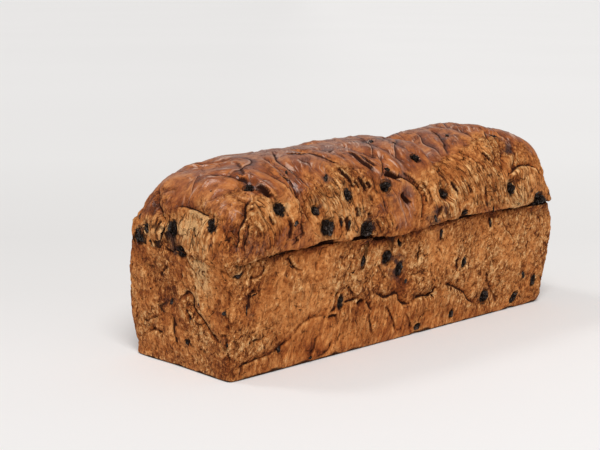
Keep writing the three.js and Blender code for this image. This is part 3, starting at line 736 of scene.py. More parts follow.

# Patches of crust: (place, radius along, radius up, torn share, baked share); the dark patches just above
# the ledge are partly painted shade.
PATCHES = (
    ("crown", (
        # the crown's flank, from the near end
        ((-132, 38), 9, 16, -1.6, -0.1),
        ((-133, 16), 7, 12, -0.6, 0.45),
        ((-124, 6), 15, 7, 0.2, 0.7),
        ((-94, 7), 17, 8, 0.0, 1.0),
        ((-108, 50), 10, 9, 0.0, 0.6),
        ((-92, 24), 5, 22, -1.2, 0.4),
        ((-114, 26), 14, 12, 0.9, -0.4),
        ((-108, 16), 9, 8, 0.2, 0.9),
        ((-61, 11), 9, 6, 0.0, 0.9),
        ((-140, 27), 5, 7, 0.0, 0.9),
        ((-2, 26), 3.5, 4.5, -1.2, 1.8),
        ((-62, 26), 13, 18, 0.9, -0.45),
        ((-70, 46), 9, 9, -0.9, 0.2),
        ((-77, 18), 7, 9, 0.0, 0.8),
        ((-34, 44), 11, 13, 0.0, 0.4),
        ((-24, 24), 12, 15, 0.3, 0.5),
        ((-98, 28), 9, 8, 0.2, -0.5),
        ((-53, 9), 8, 6, 0.2, -0.5),
        ((-87, 40), 6, 8, 0.0, 0.6),
        ((86, 46), 10, 9, 0.1, -0.7),
        ((106, 6), 10, 9, 0.0, -0.8),
        ((86, 19), 9, 7, 0.1, -0.8),
        ((47, 23), 9, 7, 0.1, -0.7),
        ((-61, 11), 7, 5, 0.0, 0.7),
        ((-27, 19), 7, 6, 0.0, 0.6),
        ((-139, 8), 6, 5, 0.0, 0.5),
        ((-8, 20), 13, 20, -2.4, -0.2),
        ((-2, 38), 9, 8, -1.0, 0.5),
        ((-8, 2), 26, 6, 0.0, 1.1),
        ((10, 42), 10, 9, 0.0, 1.1),
        ((30, 56), 12, 9, -0.6, 0.6),
        ((46, 34), 18, 20, 0.8, 0.3),
        ((56, 54), 14, 9, -0.6, 0.3),
        ((76, 5), 16, 6, 0.0, 0.6),
        ((80, 26), 12, 14, 0.6, 0.5),
        ((92, 34), 9, 8, -0.2, 1.1),
        ((108, 16), 14, 14, 0.2, -0.3),
        ((108, 46), 9, 7, -0.6, 0.8),
    )),
    ("left", (
        ((-18, 84), 20, 9, 1.5, -1.0),
        ((26, 78), 8, 8, 0.6, -0.9),
        ((28, 91), 12, 8, -0.5, 1.4),
        ((4, 95), 8, 8, 0.0, 1.0),
        ((-17, 93), 6, 5, 0.0, -0.8),
        ((12, 79), 6, 6, 0.0, -0.6),
        ((-40, 74), 7, 7, 0.0, 0.7),
        ((34, 63), 11, 8, -0.4, 1.4),
        ((-3, 64), 8, 11, -0.2, 0.7),
        ((10, 42), 11, 10, 0.0, 0.7),
        ((-1, 33), 7, 7, 0.0, 0.6),
        ((-4, 96), 40, 6, -1.4, 0.0),
        ((-23, 57), 9, 14, 0.1, -1.4),
        ((-19, 25), 8, 9, 0.0, -0.6),
        ((-41, 24), 6, 16, -0.5, 0.6),
        ((-36, 8), 10, 8, -0.3, 0.7),
    )),
    ("front", (
        ((-134, 44), 10, 13, -0.3, 0.9),
        ((-122, 27), 9, 8, 0.1, -0.6),
        ((-103, 36), 8, 7, 0.0, 0.6),
        ((-103, 12), 8, 5, 0.0, 0.8),
        ((-108, 24), 22, 12, 1.0, 0.0),
        ((-84, 42), 20, 16, 0.9, 0.0),
        ((-134, 24), 7, 12, 0.0, -0.7),
        ((64, 42), 56, 24, 0.0, -0.3),
        ((-118, 54), 9, 11, -0.3, 0.6),
        ((-88, 40), 9, 20, 0.2, -0.4),
        ((-88, 8), 24, 5, 0.0, 0.7),
        ((-56, 42), 14, 10, 0.0, -0.5),
        ((-23, 59), 7, 6, 0.0, -0.8),
        ((-71, 6), 8, 5, 0.0, 0.7),
        ((-125, 17), 7, 6, 0.0, -0.7),
        ((-95, 22), 9, 7, 0.0, 0.5),
        ((-38, 26), 8, 8, -0.3, 0.6),
        ((-10, 6), 18, 6, 0.0, 1.1),
        ((-4, 39), 9, 13, 0.0, 2.0),
        ((16, 48), 9, 12, 0.3, -0.5),
        ((76, 5), 14, 6, 0.0, 0.7),
        ((96, 46), 22, 14, 0.1, -0.1),
    )),
    ("back", (
        ((-90, 44), 16, 14, 0.2, -0.3),
        ((10, 30), 18, 12, 0.0, 0.5),
        ((80, 50), 18, 12, 0.3, -0.3),
        ((-30, 56), 22, 8, 0.0, 0.6),
        ((112, 14), 14, 9, 0.0, 0.6),
    )),
)

# Juice stains: (place, radius, strength)
STAINS = (
    ("crown", (
        ((-126, 84), 7, 0.5),
        ((-117, 54), 5, 0.6),
        ((-92, 41), 4, 0.5),
        ((2, 84), 8, 0.75),
        ((14, 80), 6, 0.7),
        ((15, 66), 7, 0.6),
        ((72, 73), 10, 0.6),
        ((21, 8), 9, 0.8),
        ((-77, 29), 7, 0.5),
        ((-66, 43), 5, 0.8),
        ((-72, 52), 8, 0.4),
        ((-88, 50), 5, 0.5),
        ((-18, 26), 7, 0.55),
        ((-32, 22), 6, 0.4),
        ((104, 46), 8, 0.75),
        ((126, 14), 6, 0.5),
        ((-50, 30), 6, 0.4),
        ((-60, 20), 5, 0.3),
        ((30, 14), 7, 0.5),
        ((-42, 20), 7, 0.4),
    )),
    ("left", (
        ((0, 74), 9, 0.7),
        ((-3, 62), 6, 0.45),
        ((9, 40), 6, 0.6),
        ((-8, 17), 5, 0.6),
        ((-42, 22), 6, 0.5),
        ((34, 84), 6, 0.6),
        ((30, 94), 8, 0.4),
        ((-34, 78), 6, 0.35),
        ((-30, 22), 8, 0.3),
    )),
    ("front", (
        ((-125, 40), 8, 0.5),
        ((30, 64), 6, 0.5),
        ((-32, 60), 6, 0.15),
        ((-6, 46), 9, 1.0),
        ((-60, 60), 9, 0.25),
        ((2, 18), 6, 0.3),
    )),
    ("back", (
        ((-40, 40), 9, 0.4),
        ((64, 56), 8, 0.4),
    )),
    ("right", (
        ((10, 50), 8, 0.4),
    )),
)


def near_path(points, path):
    """Distance to a path, the place along it from 0 to 1, and the foot of each point."""
    steps = np.diff(path, axis=0)
    lengths = np.linalg.norm(steps, axis=1)
    starts = np.concatenate([[0], np.cumsum(lengths)[:-1]])
    nearest = np.full(len(points), 1e9)
    along = np.zeros(len(points))
    away = np.zeros_like(points)
    heading = np.zeros_like(points)
    for begin, step, length, start in zip(path[:-1], steps, lengths, starts):
        share = np.clip((points - begin) @ step / length**2, 0, 1)
        off = points - (begin + share[:, None] * step)
        distance = np.linalg.norm(off, axis=1)
        closer = distance < nearest
        nearest[closer] = distance[closer]
        along[closer] = (start + share * length)[closer] / lengths.sum()
        away[closer] = off[closer]
        heading[closer] = step / length
    return nearest, along, away, heading


def rounded_path(corners):
    """The path through the corners, with each turn rounded twice."""
    path = np.array(corners)
    for _ in range(2):
        cut = [path[0]]
        for a, b in zip(path[:-1], path[1:]):
            cut += [a * 0.75 + b * 0.25, a * 0.25 + b * 0.75]
        path = np.array(cut + [path[-1]])
    return path


class Seams:
    """How far each point lies from its crease, above 0 on the lapping side, and how marked it is."""

    def __init__(self, count):
        self.off = np.full(count, SEAM_REACH)
        self.held = np.zeros(count)

    def add(self, nearby, off, strength):
        held = strength * (1 - ease(np.abs(off), 0.5 * SEAM_REACH, SEAM_REACH))
        stronger = held > self.held[nearby]
        self.held[nearby[stronger]] = held[stronger]
        self.off[nearby[stronger]] = off[stronger]


def fold_relief(form, points, outward, folds, seams, wander=1.2, share=1.0, yields=False, gape=0.0):
    """Height of the folds over the plain form; their creases are added to the seams.

    Creases stray by up to wander and are marked by share; those that yield fade out where they
    meet an older one, and gape is the part of the lap that stays open.
    """
    height = np.zeros(len(points))
    for side, corners, depth, lap, rise, lapping in folds:
        path = rounded_path([form.place(side, *corner) for corner in corners])
        reach = max(2.2 * max(lap, rise), SEAM_REACH)
        low, high = path.min(0) - reach, path.max(0) + reach
        nearby = np.where(((points > low) & (points < high)).all(1))[0]
        if not len(nearby):
            continue
        spots = points[nearby]
        stray = wander * smooth_noise(spots, WANDER_GRAIN, depth + lap)[:, None]
        shifted = spots + stray * outward[nearby][:, [1, 2, 0]]
        distance, along, away, heading = near_path(shifted, path)
        tip = ease(along, 0, 0.2) * ease(1 - along, 0, 0.2)
        if yields:
            tip *= 1 - min(1.0, 2 * seams.held[nearby[distance < 2]].max(initial=0))
        on_lap = (np.cross(heading, away) * outward[nearby]).sum(1) * lapping > 0
        off = np.clip(1 - distance / lap, 0, 1)
        down = np.where(
            on_lap,
            1 - np.sqrt(np.clip(1 - off**2.2, 0, 1)),
            np.exp(-((distance / rise) ** 1.5) * 2.2),
        )
        swell = np.where(on_lap, np.exp(-(((distance - 0.8 * lap) / (0.5 * lap)) ** 2)), 0)
        height[nearby] += depth * tip * (0.22 * swell - down)
        edge = np.maximum(distance - gape * lap, 0)
        seams.add(nearby, np.where(on_lap, edge, -edge), share * tip * min(1.0, depth / MARKED_DEPTH))
    return height


def small_cracks(count, seed):
    """Short cracks scattered over the walls and the crown's flanks."""
    draw = np.random.default_rng(seed)
    cracks = []
    for _ in range(count):
        kind = draw.random()
        depth = draw.uniform(0.45, 1.1)
        if kind < 0.42:
            side = "crown"
            x, wrap = draw.uniform(-128, 132), draw.uniform(4, 52)
            if draw.random() < 0.5:
                wrap = 180 - wrap
            fall = draw.uniform(5, 12)
            lean = draw.uniform(2, 7)
            path = ((x - lean, wrap + fall), (x, wrap), (x + lean * 0.7, max(1.0, wrap - fall)))
            if wrap > 90:
                path = ((x - lean, wrap - fall), (x, wrap), (x + lean * 0.7, min(179.0, wrap + fall)))
            depth *= 1.15
        elif kind < 0.82:
            side = "front" if draw.random() < 0.55 else "back"
            x, z = draw.uniform(-128, 128), draw.uniform(8, 58)
            turn = draw.uniform(0, math.pi)
            half = draw.uniform(3, 9)
            dx, dz = half * math.cos(turn), half * math.sin(turn) * 0.8
            bend = draw.uniform(-2.5, 2.5)
            middle = (x + bend * math.sin(turn), z - bend * math.cos(turn))
            path = ((x - dx, z - dz), middle, (x + dx, z + dz))
        else:
            side = "left" if draw.random() < 0.5 else "right"
            y, z = draw.uniform(-34, 34), draw.uniform(10, 84)
            turn = draw.uniform(0, math.pi)
            half = draw.uniform(3, 8)
            dy, dz = half * math.cos(turn), half * math.sin(turn)
            bend = draw.uniform(-2.5, 2.5)
            path = ((y - dy, z - dz), (y + bend, z + bend), (y + dy, z + dz))
            depth *= 0.8
        path = tuple((a, max(3.0, b)) for a, b in path)
        lapping = 1 if draw.random() < 0.5 else -1
        cracks.append((side, path, depth, draw.uniform(2, 3.5), draw.uniform(1.5, 2.5), lapping))
    return cracks


# ---- Currants as the frame has them -----------------------------------------


class Currant:
    """Centre, axes and half sizes of one currant of the frame, in loaf millimetres."""

    def __init__(self, name):
        mesh = bpy.data.objects[name].data
        points = (points_of(mesh) - np.array(LOAF_ORIGIN)) / MM
        low, high = points.min(0), points.max(0)
        self.centre = (low + high) / 2
        spread = points - self.centre
        _, axes = np.linalg.eigh(spread.T @ spread)
        axes = axes[:, ::-1]
        if np.linalg.det(axes) < 0:
            axes[:, 2] *= -1
        self.axes = axes
        self.half = np.abs(spread @ axes).max(0)


# ---- The crust's relief -----------------------------------------------------


class Crust:
    """Relief and looks of the crust at the points of the plain form, in millimetres."""

    def __init__(self, form, points, outward, currants):
        self.form = form
        self.points = points
        self.outward = outward
        x, y, z = points.T
        self.wrap = np.degrees(np.arctan2(np.maximum(z - WRAP_HEIGHT, 0), -y))
        self.on_wall = 1 - ease(z, form.rim - 2, form.rim + 1)
        lean = np.interp(self.wrap, LEAN_ANGLES, LEAN_ALONG)
        lean = np.where(self.wrap > 50, lean * ease(x, -105, -60) - 8 * ease(-x, 90, 120), lean)
        swirl = smooth_noise(points, 26, 1)
        self.flow = x - lean + 5 * swirl
        arc = form.rim + np.radians(self.wrap) * BARREL_RADIUS
        arc = np.where(z < form.rim, np.where(y < 0, z, 2 * form.rim + RIM_TO_RIM - z), arc)
        at_end = ease(np.abs(outward[:, 0]), 0.55, 0.7)
        aside = y + 3 * swirl + ENDS_APART * np.sign(x)
        self.grain = np.stack([self.flow, arc, z * 0], 1)
        self.end_grain = np.stack([aside, z + 4 * swirl, z * 0 + 60], 1)
        self.at_end = at_end
        self.lay_zones()
        self.raise_relief(currants)

    def near_spot(self, side, place, along, up):
        """A soft spot, 1 at its middle."""
        off = self.points - self.form.place(side, *place)
        level = off[:, 0] if side in ("crown", "front", "back") else off[:, 1]
        rest = (off**2).sum(1) - level**2
        return np.exp(-((level / along) ** 2 + rest / up**2))

    def grained(self, size, seed):
        """Noise drawn out along the flow of the dough, turned to the upright on the ends."""
        side = smooth_noise(self.grain, size, seed)
        end = smooth_noise(self.end_grain, size, seed + 0.37)
        return side + (end - side) * self.at_end

    def lay_zones(self):
        """Shares of well-baked top, torn crust, smooth lower strand and stain."""
        x, y, z = self.points.T
        broad = smooth_noise(self.points, 24, 2)
        middling = smooth_noise(self.points, 8, 3)
        torn_patch = np.zeros(len(x))
        baked_patch = np.zeros(len(x))
        for side, place, along, up, torn, baked in each(PATCHES):
            spot = self.near_spot(side, place, along, up)
            torn_patch += torn * spot
            baked_patch += baked * spot
        front_top = np.interp(x, TORN_PLACES, TORN_FRONT)
        back_top = 180 - np.interp(x, TORN_PLACES, TORN_BACK)
        climb = np.where(self.wrap < 90, self.wrap - front_top, back_top - self.wrap)
        climb = climb * (1 - self.at_end) + (z - 93) * self.at_end * 1.4
        climb = climb + 14 * broad + 9 * middling
        skin = ease(-torn_patch, 0.9, 1.7) * ease(z, self.form.rim - 1, self.form.rim + 4)
        bake = ease(climb, -2, 16) * (0.72 + 0.5 * ease(z, 100, 118))
        self.bake = np.clip(bake + 0.25 * baked_patch * (1 - self.on_wall), -0.6, 1.2)
        self.bake = np.maximum(self.bake, 0.55 * skin)
        self.browning_and_ledge_shade = baked_patch
        flank = ease(z, self.form.rim - 2, self.form.rim + 5) * (1 - ease(climb, -4, 8))
        torn = flank * (0.55 + 0.9 * broad + 0.5 * middling) + torn_patch * 0.6
        self.torn = ease(torn, 0.12, 0.62) * (1 - 0.9 * ease(climb, 2, 12))
        self.torn *= 1 - 0.6 * self.on_wall
        front_edge = np.interp(x, FRONT_STRAND_PLACES, FRONT_STRAND_TOPS)
        back_edge = np.interp(x, BACK_STRAND_PLACES, BACK_STRAND_TOPS)
        front_strand = np.where(y < 0, ease(front_edge - z, -1.5, 1.5), 0)
        back_strand = np.where(y > 0, ease(back_edge - z, -2, 2), 0)
        self.strand = (front_strand + 0.8 * back_strand) * (1 - self.at_end)
        self.stain = np.zeros(len(x))
        for side, place, radius, strength in each(STAINS):
            self.stain = np.maximum(self.stain, strength * self.near_spot(side, place, radius, radius))
        self.stain *= ease(0.5 + 0.9 * smooth_noise(self.points, 4.5, 5), 0.05, 0.75)

    def raise_relief(self, currants):
        points, outward = self.points, self.outward
        x, y, z = points.T
        swell = 0.8 * (np.sin(x / 17 + z / 23) * np.cos(y / 15 - x / 41) + 0.5 * np.sin(z / 9 - x / 29))
        seams = Seams(len(x))
        height = fold_relief(self.form, points, outward, each(FOLDS), seams)
        narrow = [(side, path, depth, wide, wide, 1) for side, path, depth, wide in each(TEARS)]
        height += fold_relief(self.form, points, outward, narrow, seams, wander=0.6, gape=0.35)
        cracks = small_cracks(count=230, seed=11)
        height += fold_relief(
            self.form, points, outward, cracks, seams, wander=0.8, share=0.85, yields=True
        )
        crease_shade = np.zeros(len(x))
        # The crown laps the long walls: a cleft under the ledge, with painted shadow below it, and painted
        # shade along the bottom edge.
        wobble = smooth_noise(points, 9, 31)
        corner = self.form.rim - LEDGE_CORNER + self.form.ledge_rise(x, y / self.form.half_width)
        off_ledge = z - corner + 0.6 * wobble
        under_ledge = np.where(np.abs(off_ledge) < SEAM_REACH)[0]
        cleft = ease(x, -142, -137) * ease(150 - x, 0, 6) * np.where(y > 0, ease(x, -112, -90), 1)
        cleft *= (1 - 0.9 * self.at_end) * np.clip(0.45 + 0.9 * smooth_noise(points, 15, 33), 0.15, 0.7)
        seams.add(under_ledge, off_ledge[under_ledge], cleft[under_ledge])
        height -= cleft * 0.8 * np.exp(-((off_ledge / 0.9) ** 2))
        height -= cleft * 1.3 * np.where(off_ledge > 0, np.clip(1 - off_ledge / 5.5, 0, 1) ** 2, 0)
        self.browning_and_ledge_shade += cleft * 1.5 * np.exp(-(((off_ledge + 1.5) / 2.6) ** 2))
        crease_shade = np.maximum(crease_shade, 1.1 * ease(2.0 + 2.2 * wobble - z, 0, 1.6))
        for side, place, along, up, rise in each(DENTS):
            height += rise * self.near_spot(side, place, along, up)

        glossy = np.clip(self.bake, 0, 1) * (1 - self.torn)
        crown = 1 - self.on_wall
        # Sheets of dough sweep over the crown, lapping each other; finer ones tore on the flanks.
        broad = self.grained((13, 80, 30), 9)
        height += crown * (1 - 0.35 * self.torn) * 0.5 * rounded(broad)
        # Painted shade in the creases between the strands of the glossy crown.
        crease_shade = np.maximum(crease_shade, 0.3 * crown * creased(broad) * glossy)
        self.laps = self.flow / 15 + 1.5 * self.grained((26, 60, 30), 22)
        self.lapped = glossy * ease(self.grained((14, 34, 20), 23), -0.12, 0.3)
        height += 0.65 * sheets(self.laps, self.lapped)
        thin = self.grained((5, 42, 20), 10)
        height += glossy * (0.35 * ridged(thin, 2.5) + 0.25 * smooth_noise(points, 12, 12))
        self.flakes = self.flow / 6.2 + 1.6 * self.grained((8, 17, 12), 25)
        self.flaked = self.torn * ease(self.grained((7, 15, 10), 24), -0.25, 0.15) * (1 - 0.8 * self.at_end)
        height += 1.0 * sheets(self.flakes, self.flaked, fall=0.25)
        self.coarse = self.grained((4.2, 19, 9), 6)
        tufts = smooth_noise(points, 5, 8)
        height += self.torn * (0.9 * rounded(self.coarse) + 0.35 * tufts)
        height += self.torn * 0.6 * rounded(self.grained((2.4, 10, 5), 7))

        # Walls that baked against the tin: patches between creases, curls and pits.
        plain = (1 - self.torn) * (1 - glossy)
        self.slabs = self.grained((13, 17, 12), 13)
        self.curls = self.grained((4.2, 5.6, 5), 15)
        knots = smooth_noise(points, 2.9, 14)
        rough = plain * (1 - 0.5 * self.strand)
        height += rough * (rounded(self.slabs) + 0.55 * rounded(self.curls) + 0.2 * knots)
        height += plain * (1 - rough) * 0.3 * knots
        upright = self.grained((5.5, 24, 8), 16)
        height += self.strand * (0.9 * rounded(upright) + 0.35 * ridged(self.grained((3.0, 14, 6), 17), 2))
        # Painted shade in the creases of the lowest strand.
        crease_shade = np.maximum(crease_shade, 0.4 * self.strand * creased(upright))
        self.pits = ease(smooth_noise(points, 2.3, 20), 0.22, 0.42) * (1 - glossy)
        height -= 0.5 * self.pits

        height = (height + swell) * ease(z, 0.5, 6)
        height = np.maximum(height, -DEEPEST)

        # Each currant sits in its own socket, with the dough drawn to it; painted shade fills the gap round
        # it and the hole under it.
        for currant in currants:
            off = points - currant.centre
            close = np.where((np.abs(off) < 2.6 * currant.half[0] + 4).all(1))[0]
            if not len(close):
                continue
            off, way = off[close], outward[close]
            level = (off * way).sum(1)
            flat = (off - level[:, None] * way) @ currant.axes
            local = flat / np.maximum(currant.half, 0.75 * currant.half[1])
            rho = np.sqrt((local**2).sum(1)) + 0.2 * smooth_noise(points[close], 2.6, 21)
            drawn = 1 - ease(rho, 1.15, 2.1)
            height[close] += (0.25 * currant.half[2] - level - height[close]) * drawn
            hole = 1 - ease(rho, 0.5, 1.08)
            ring = np.exp(-(((rho - 1.0) / 0.15) ** 2))
            rim = np.exp(-(((rho - 1.3) / 0.2) ** 2))
            height[close] += 0.4 * rim - 1.8 * hole
            crease_shade[close] = np.maximum(crease_shade[close] * (1 - drawn), np.maximum(0.85 * ring, hole))
            seams.held[close] *= 1 - drawn
            blot = 0.6 * np.exp(-((rho / 1.6) ** 2)) * ease(smooth_noise(points[close], 4, 18), -0.4, 0.4)
            self.stain[close] = np.maximum(self.stain[close], blot)
        self.height = height
        self.crease_shade = crease_shade
        self.seams = seams


def hollows(mesh, rounds):
    """How far each vertex lies under the mean of its neighbours, in millimetres."""
    count = len(mesh.vertices)
    edges = np.empty(len(mesh.edges) * 2, dtype=np.int64)
    mesh.edges.foreach_get("vertices", edges)
    a, b = edges.reshape(-1, 2).T
    valence = np.bincount(a, minlength=count) + np.bincount(b, minlength=count)
    smoothed = points_of(mesh) / MM
    start = smoothed.copy()
    for _ in range(rounds):
        total = np.zeros_like(smoothed)
        for axis in range(3):
            total[:, axis] = np.bincount(a, smoothed[b, axis], count)
            total[:, axis] += np.bincount(b, smoothed[a, axis], count)
        smoothed = total / valence[:, None]
    return ((smoothed - start) * normals_of(mesh)).sum(1)


def store(mesh, name, *columns):
    """Keep three or four values at each vertex, for the material to read."""
    values = np.stack(columns, 1).astype(np.float32)
    kind, part = ("FLOAT_VECTOR", "vector") if len(columns) == 3 else ("FLOAT_COLOR", "color")
    mesh.attributes.new(name, kind, "POINT").data.foreach_set(part, values.ravel())


# ---- Materials --------------------------------------------------------------


class Nodes:
    """A short way to write a node tree."""

    def __init__(self, material):
        material.use_nodes = True
        self.tree = material.node_tree
        self.tree.nodes.clear()

    def add(self, kind, settings=None, **inputs):
        """Add a node; its inputs go by name, or by number as i0, i1 and so on."""
        node = self.tree.nodes.new(kind)
        for key, value in (settings or {}).items():
            setattr(node, key, value)
        for key, value in inputs.items():
            numbered = key[0] == "i" and key[1:].isdigit()
            self.feed(node.inputs[int(key[1:]) if numbered else key.replace("_", " ")], value)
        return node

    def feed(self, socket, value):
        """Link a node's output into a socket, or set a plain value on it."""
        if isinstance(value, bpy.types.NodeSocket):
            self.tree.links.new(value, socket)
        else:
            socket.default_value = value

    def math(self, operation, a, b=0.0, clamp=False):
        settings = {"operation": operation, "use_clamp": clamp}
        return self.add("ShaderNodeMath", settings, i0=a, i1=b).outputs[0]

    def plus(self, total, *others):
        for other in others:
            total = self.math("ADD", total, other)
        return total

    def times(self, product, *others):
        for other in others:
            product = self.math("MULTIPLY", product, other)
        return product

    def less(self, a, b):
        return self.math("SUBTRACT", a, b)

    def clamped(self, a):
        return self.math("ADD", a, 0.0, True)

    def blend(self, share, a, b):
        """From a to b by share, for plain numbers."""
        return self.plus(a, self.times(share, self.less(b, a)))

    def mix(self, share, a, b):
        """From colour a to colour b by share."""
        return self.add("ShaderNodeMix", {"data_type": "RGBA"}, i0=share, i6=a, i7=b).outputs[2]

    def span(self, value, low, high, to_low=0.0, to_high=1.0):
        """A soft step from to_low at low to to_high at high."""
        settings = {"interpolation_type": "SMOOTHSTEP"}
        node = self.add("ShaderNodeMapRange", settings, i0=value, i1=low, i2=high, i3=to_low, i4=to_high)
        return node.outputs[0]

    def noise(self, vector, scale, detail=3.0, rough=0.55, distortion=0.0):
        settings = {"Scale": scale, "Detail": detail, "Roughness": rough, "Distortion": distortion}
        return self.add("ShaderNodeTexNoise", None, Vector=vector, **settings).outputs[0]

    def stretched(self, vector, scale):
        return self.add("ShaderNodeMapping", None, Vector=vector, Scale=scale).outputs[0]

    def attribute(self, name):
        return self.add("ShaderNodeAttribute", {"attribute_name": name}).outputs

    def three(self, name):
        """The three values stored at each vertex under a name."""
        return self.add("ShaderNodeSeparateXYZ", None, Vector=self.attribute(name)["Vector"]).outputs

    def four(self, name):
        """The four values stored at each vertex under a name."""
        stored = self.attribute(name)
        return *self.add("ShaderNodeSeparateColor", None, Color=stored["Color"]).outputs, stored["Alpha"]

    def ramp(self, value, start, end, between):
        """From colour start at 0 to colour end at 1, by way of the places between."""
        node = self.add("ShaderNodeValToRGB", None, Fac=value)
        stops = node.color_ramp.elements
        stops[0].color, stops[1].color = colour(start), colour(end)
        for position, rgb in between:
            stops.new(position).color = colour(rgb)
        return node.outputs[0]

    def surface(self, **inputs):
        shader = self.add("ShaderNodeBsdfPrincipled", None, **inputs)
        self.add("ShaderNodeOutputMaterial", None, Surface=shader.outputs[0])


def colour(rgb):
    return (*rgb, 1.0)


def crust_material(looks):
    material = bpy.data.materials.new("baked_crust")
    n = Nodes(material)
    place = n.add("ShaderNodeTexCoord").outputs["Object"]
    grain = n.attribute("grain")["Vector"]
    end_grain = n.attribute("end_grain")["Vector"]
    bake, torn, crease_shade, stain = n.four("crust_zones")
    strand, pit, raised_highlight, at_end = n.four("crust_spots")
    off, held, coarse = n.three("crust_seams")
    laps, lapped, flakes, flaked = n.four("crust_sheets")
    slabs, knots, browning_and_ledge_shade = n.three("crust_curls")

    def grained(scale, detail, rough, distortion=0.0):
        side = n.noise(n.stretched(grain, scale), 1.0, detail, rough, distortion)
        end = n.noise(n.stretched(end_grain, scale), 1.0, detail, rough, distortion)
        return n.blend(at_end, side, end)

    def line(distance, inner, outer):
        """1 at a line and 0 away from it; the distance is 0 on the line."""
        return n.span(n.math("ABSOLUTE", distance), outer, inner)

    # Wrinkles along the grain on the torn flank, short marks all over the walls.
    long_wrinkles = grained((430, 80, 160), 3, 0.62, 0.6)
    short_wrinkles = grained((950, 210, 300), 3, 0.62, 0.5)
    slant = n.add("ShaderNodeMapping", None, Vector=place, Rotation=(0, math.radians(-24), 0)).outputs[0]
    marks = n.noise(n.stretched(slant, (400, 370, 260)), 1.0, 3, 0.62, 0.6)
    small_marks = n.noise(n.stretched(slant, (900, 840, 600)), 1.0, 3, 0.62, 0.5)
    strand_lines = n.noise(n.stretched(slant, (700, 200, 70)), 1.0, 2, 0.6, 0.3)
    blotch = n.noise(place, 50.0, 4, 0.6)
    mottle = n.noise(place, 170.0, 4, 0.6)
    pores = n.noise(place, 900.0, 3, 0.6)
    streaks = grained((210, 22, 60), 4, 0.6)
    shift = n.less(mottle, 0.5)

    # The glossy skin ends in a ragged edge where the flank tore.
    torn_edge = n.plus(torn, n.times(shift, 0.9), n.times(n.less(long_wrinkles, 0.5), 0.22))
    torn = n.span(torn_edge, 0.36, 0.60)
    along = n.clamped(n.plus(torn, n.times(strand, 0.6)))
    large = n.blend(along, marks, long_wrinkles)
    small = n.blend(along, small_marks, short_wrinkles)
    gloss = n.times(n.clamped(bake), n.less(1.0, torn))
    matte = n.less(1.0, n.clamped(n.times(gloss, 1.1)))
    calm = n.span(n.noise(place, 34.0, 2, 0.5), 0.40, 0.60, 0.45, 1.15)
    lively = n.times(matte, calm)

    # Creases: a line of painted shade, more painted shade on the side that is lapped over, and a painted
    # highlight on the lapping rim; the edges of the crown's sheets and of the flakes get painted lines and
    # shade the same way.
    ragged = n.plus(off, n.times(shift, 1.6))
    fold_shade = n.times(held, line(ragged, 0.2, n.plus(0.75, n.times(gloss, 0.35))))
    shade = n.times(held, n.span(ragged, -3.2, 0.0), n.span(ragged, 0.5, 0.0))
    rim = n.times(held, n.span(ragged, 0.4, 1.0), n.span(ragged, 2.6, 1.2))
    lap_share = n.math("FRACT", laps)
    lap_line = n.times(lapped, n.plus(n.span(lap_share, 0.055, 0.0), n.span(lap_share, 0.97, 1.0)))
    lap_shade = n.times(lapped, n.span(lap_share, 0.30, 0.0))
    flake_share = n.math("FRACT", flakes)
    flake_line = n.times(flaked, n.plus(n.span(flake_share, 0.10, 0.0), n.span(flake_share, 0.94, 1.0)))
    coarse_line = n.times(torn, line(coarse, 0.015, 0.075), n.span(mottle, 0.40, 0.55))
    slab_line = n.times(line(slabs, 0.004, 0.03), n.span(mottle, 0.50, 0.60), matte, 0.9)
    knot_line = n.times(line(knots, 0.01, 0.06), n.span(mottle, 0.56, 0.66), matte)
    flow_line = n.times(line(n.less(streaks, 0.5), 0.005, 0.018), gloss, n.span(mottle, 0.45, 0.54))

    # How far each spot is baked, from pale to chestnut, with painted light and shade mixed in: lighter on
    # the backs of wrinkles, on raised spots and along lapping rims, darker on lapped-over sides and under
    # the ledge.
    relief_shading = n.plus(n.times(n.less(large, 0.5), 1.6), n.less(small, 0.5))
    shades = n.plus(shade, n.times(lap_shade, 0.6))
    browned = n.plus(
        0.41,
        n.times(bake, 0.19),
        n.times(browning_and_ledge_shade, n.span(blotch, 0.35, 0.65, 0.14, 0.42)),
        n.times(torn, -0.05),
        n.times(n.less(blotch, 0.5), n.less(0.60, n.times(gloss, 0.25))),
        n.times(shift, n.plus(0.75, n.times(torn, 0.25))),
        n.times(n.less(streaks, 0.5), gloss),
        n.times(relief_shading, n.plus(0.10, n.times(lively, 0.90)), -1.0),
        n.times(strand, n.plus(0.05, n.times(n.less(strand_lines, 0.5), -0.8))),
        n.times(raised_highlight, n.plus(0.10, n.times(matte, 0.12)), -1.0),
        n.times(shades, n.plus(0.40, n.times(gloss, 0.2))),
        n.times(rim, -0.16),
    )
    tones = ((0.24, looks.golden), (0.5, looks.tan), (0.74, looks.brown))
    base = n.ramp(browned, looks.pale, looks.chestnut, tones)

    # Painted shade in the fine cracks between the wrinkles.
    cracks = n.span(large, 0.42, 0.36)
    fine_cracks = n.times(n.span(small, 0.405, 0.345), n.span(blotch, 0.42, 0.56))
    crack_shades = n.clamped(n.plus(n.times(cracks, 0.85), n.times(fine_cracks, 0.4)))
    crack_shades = n.times(crack_shades, n.plus(0.05, n.times(lively, 0.95)))
    base = n.mix(crack_shades, base, colour(looks.crack_shade))
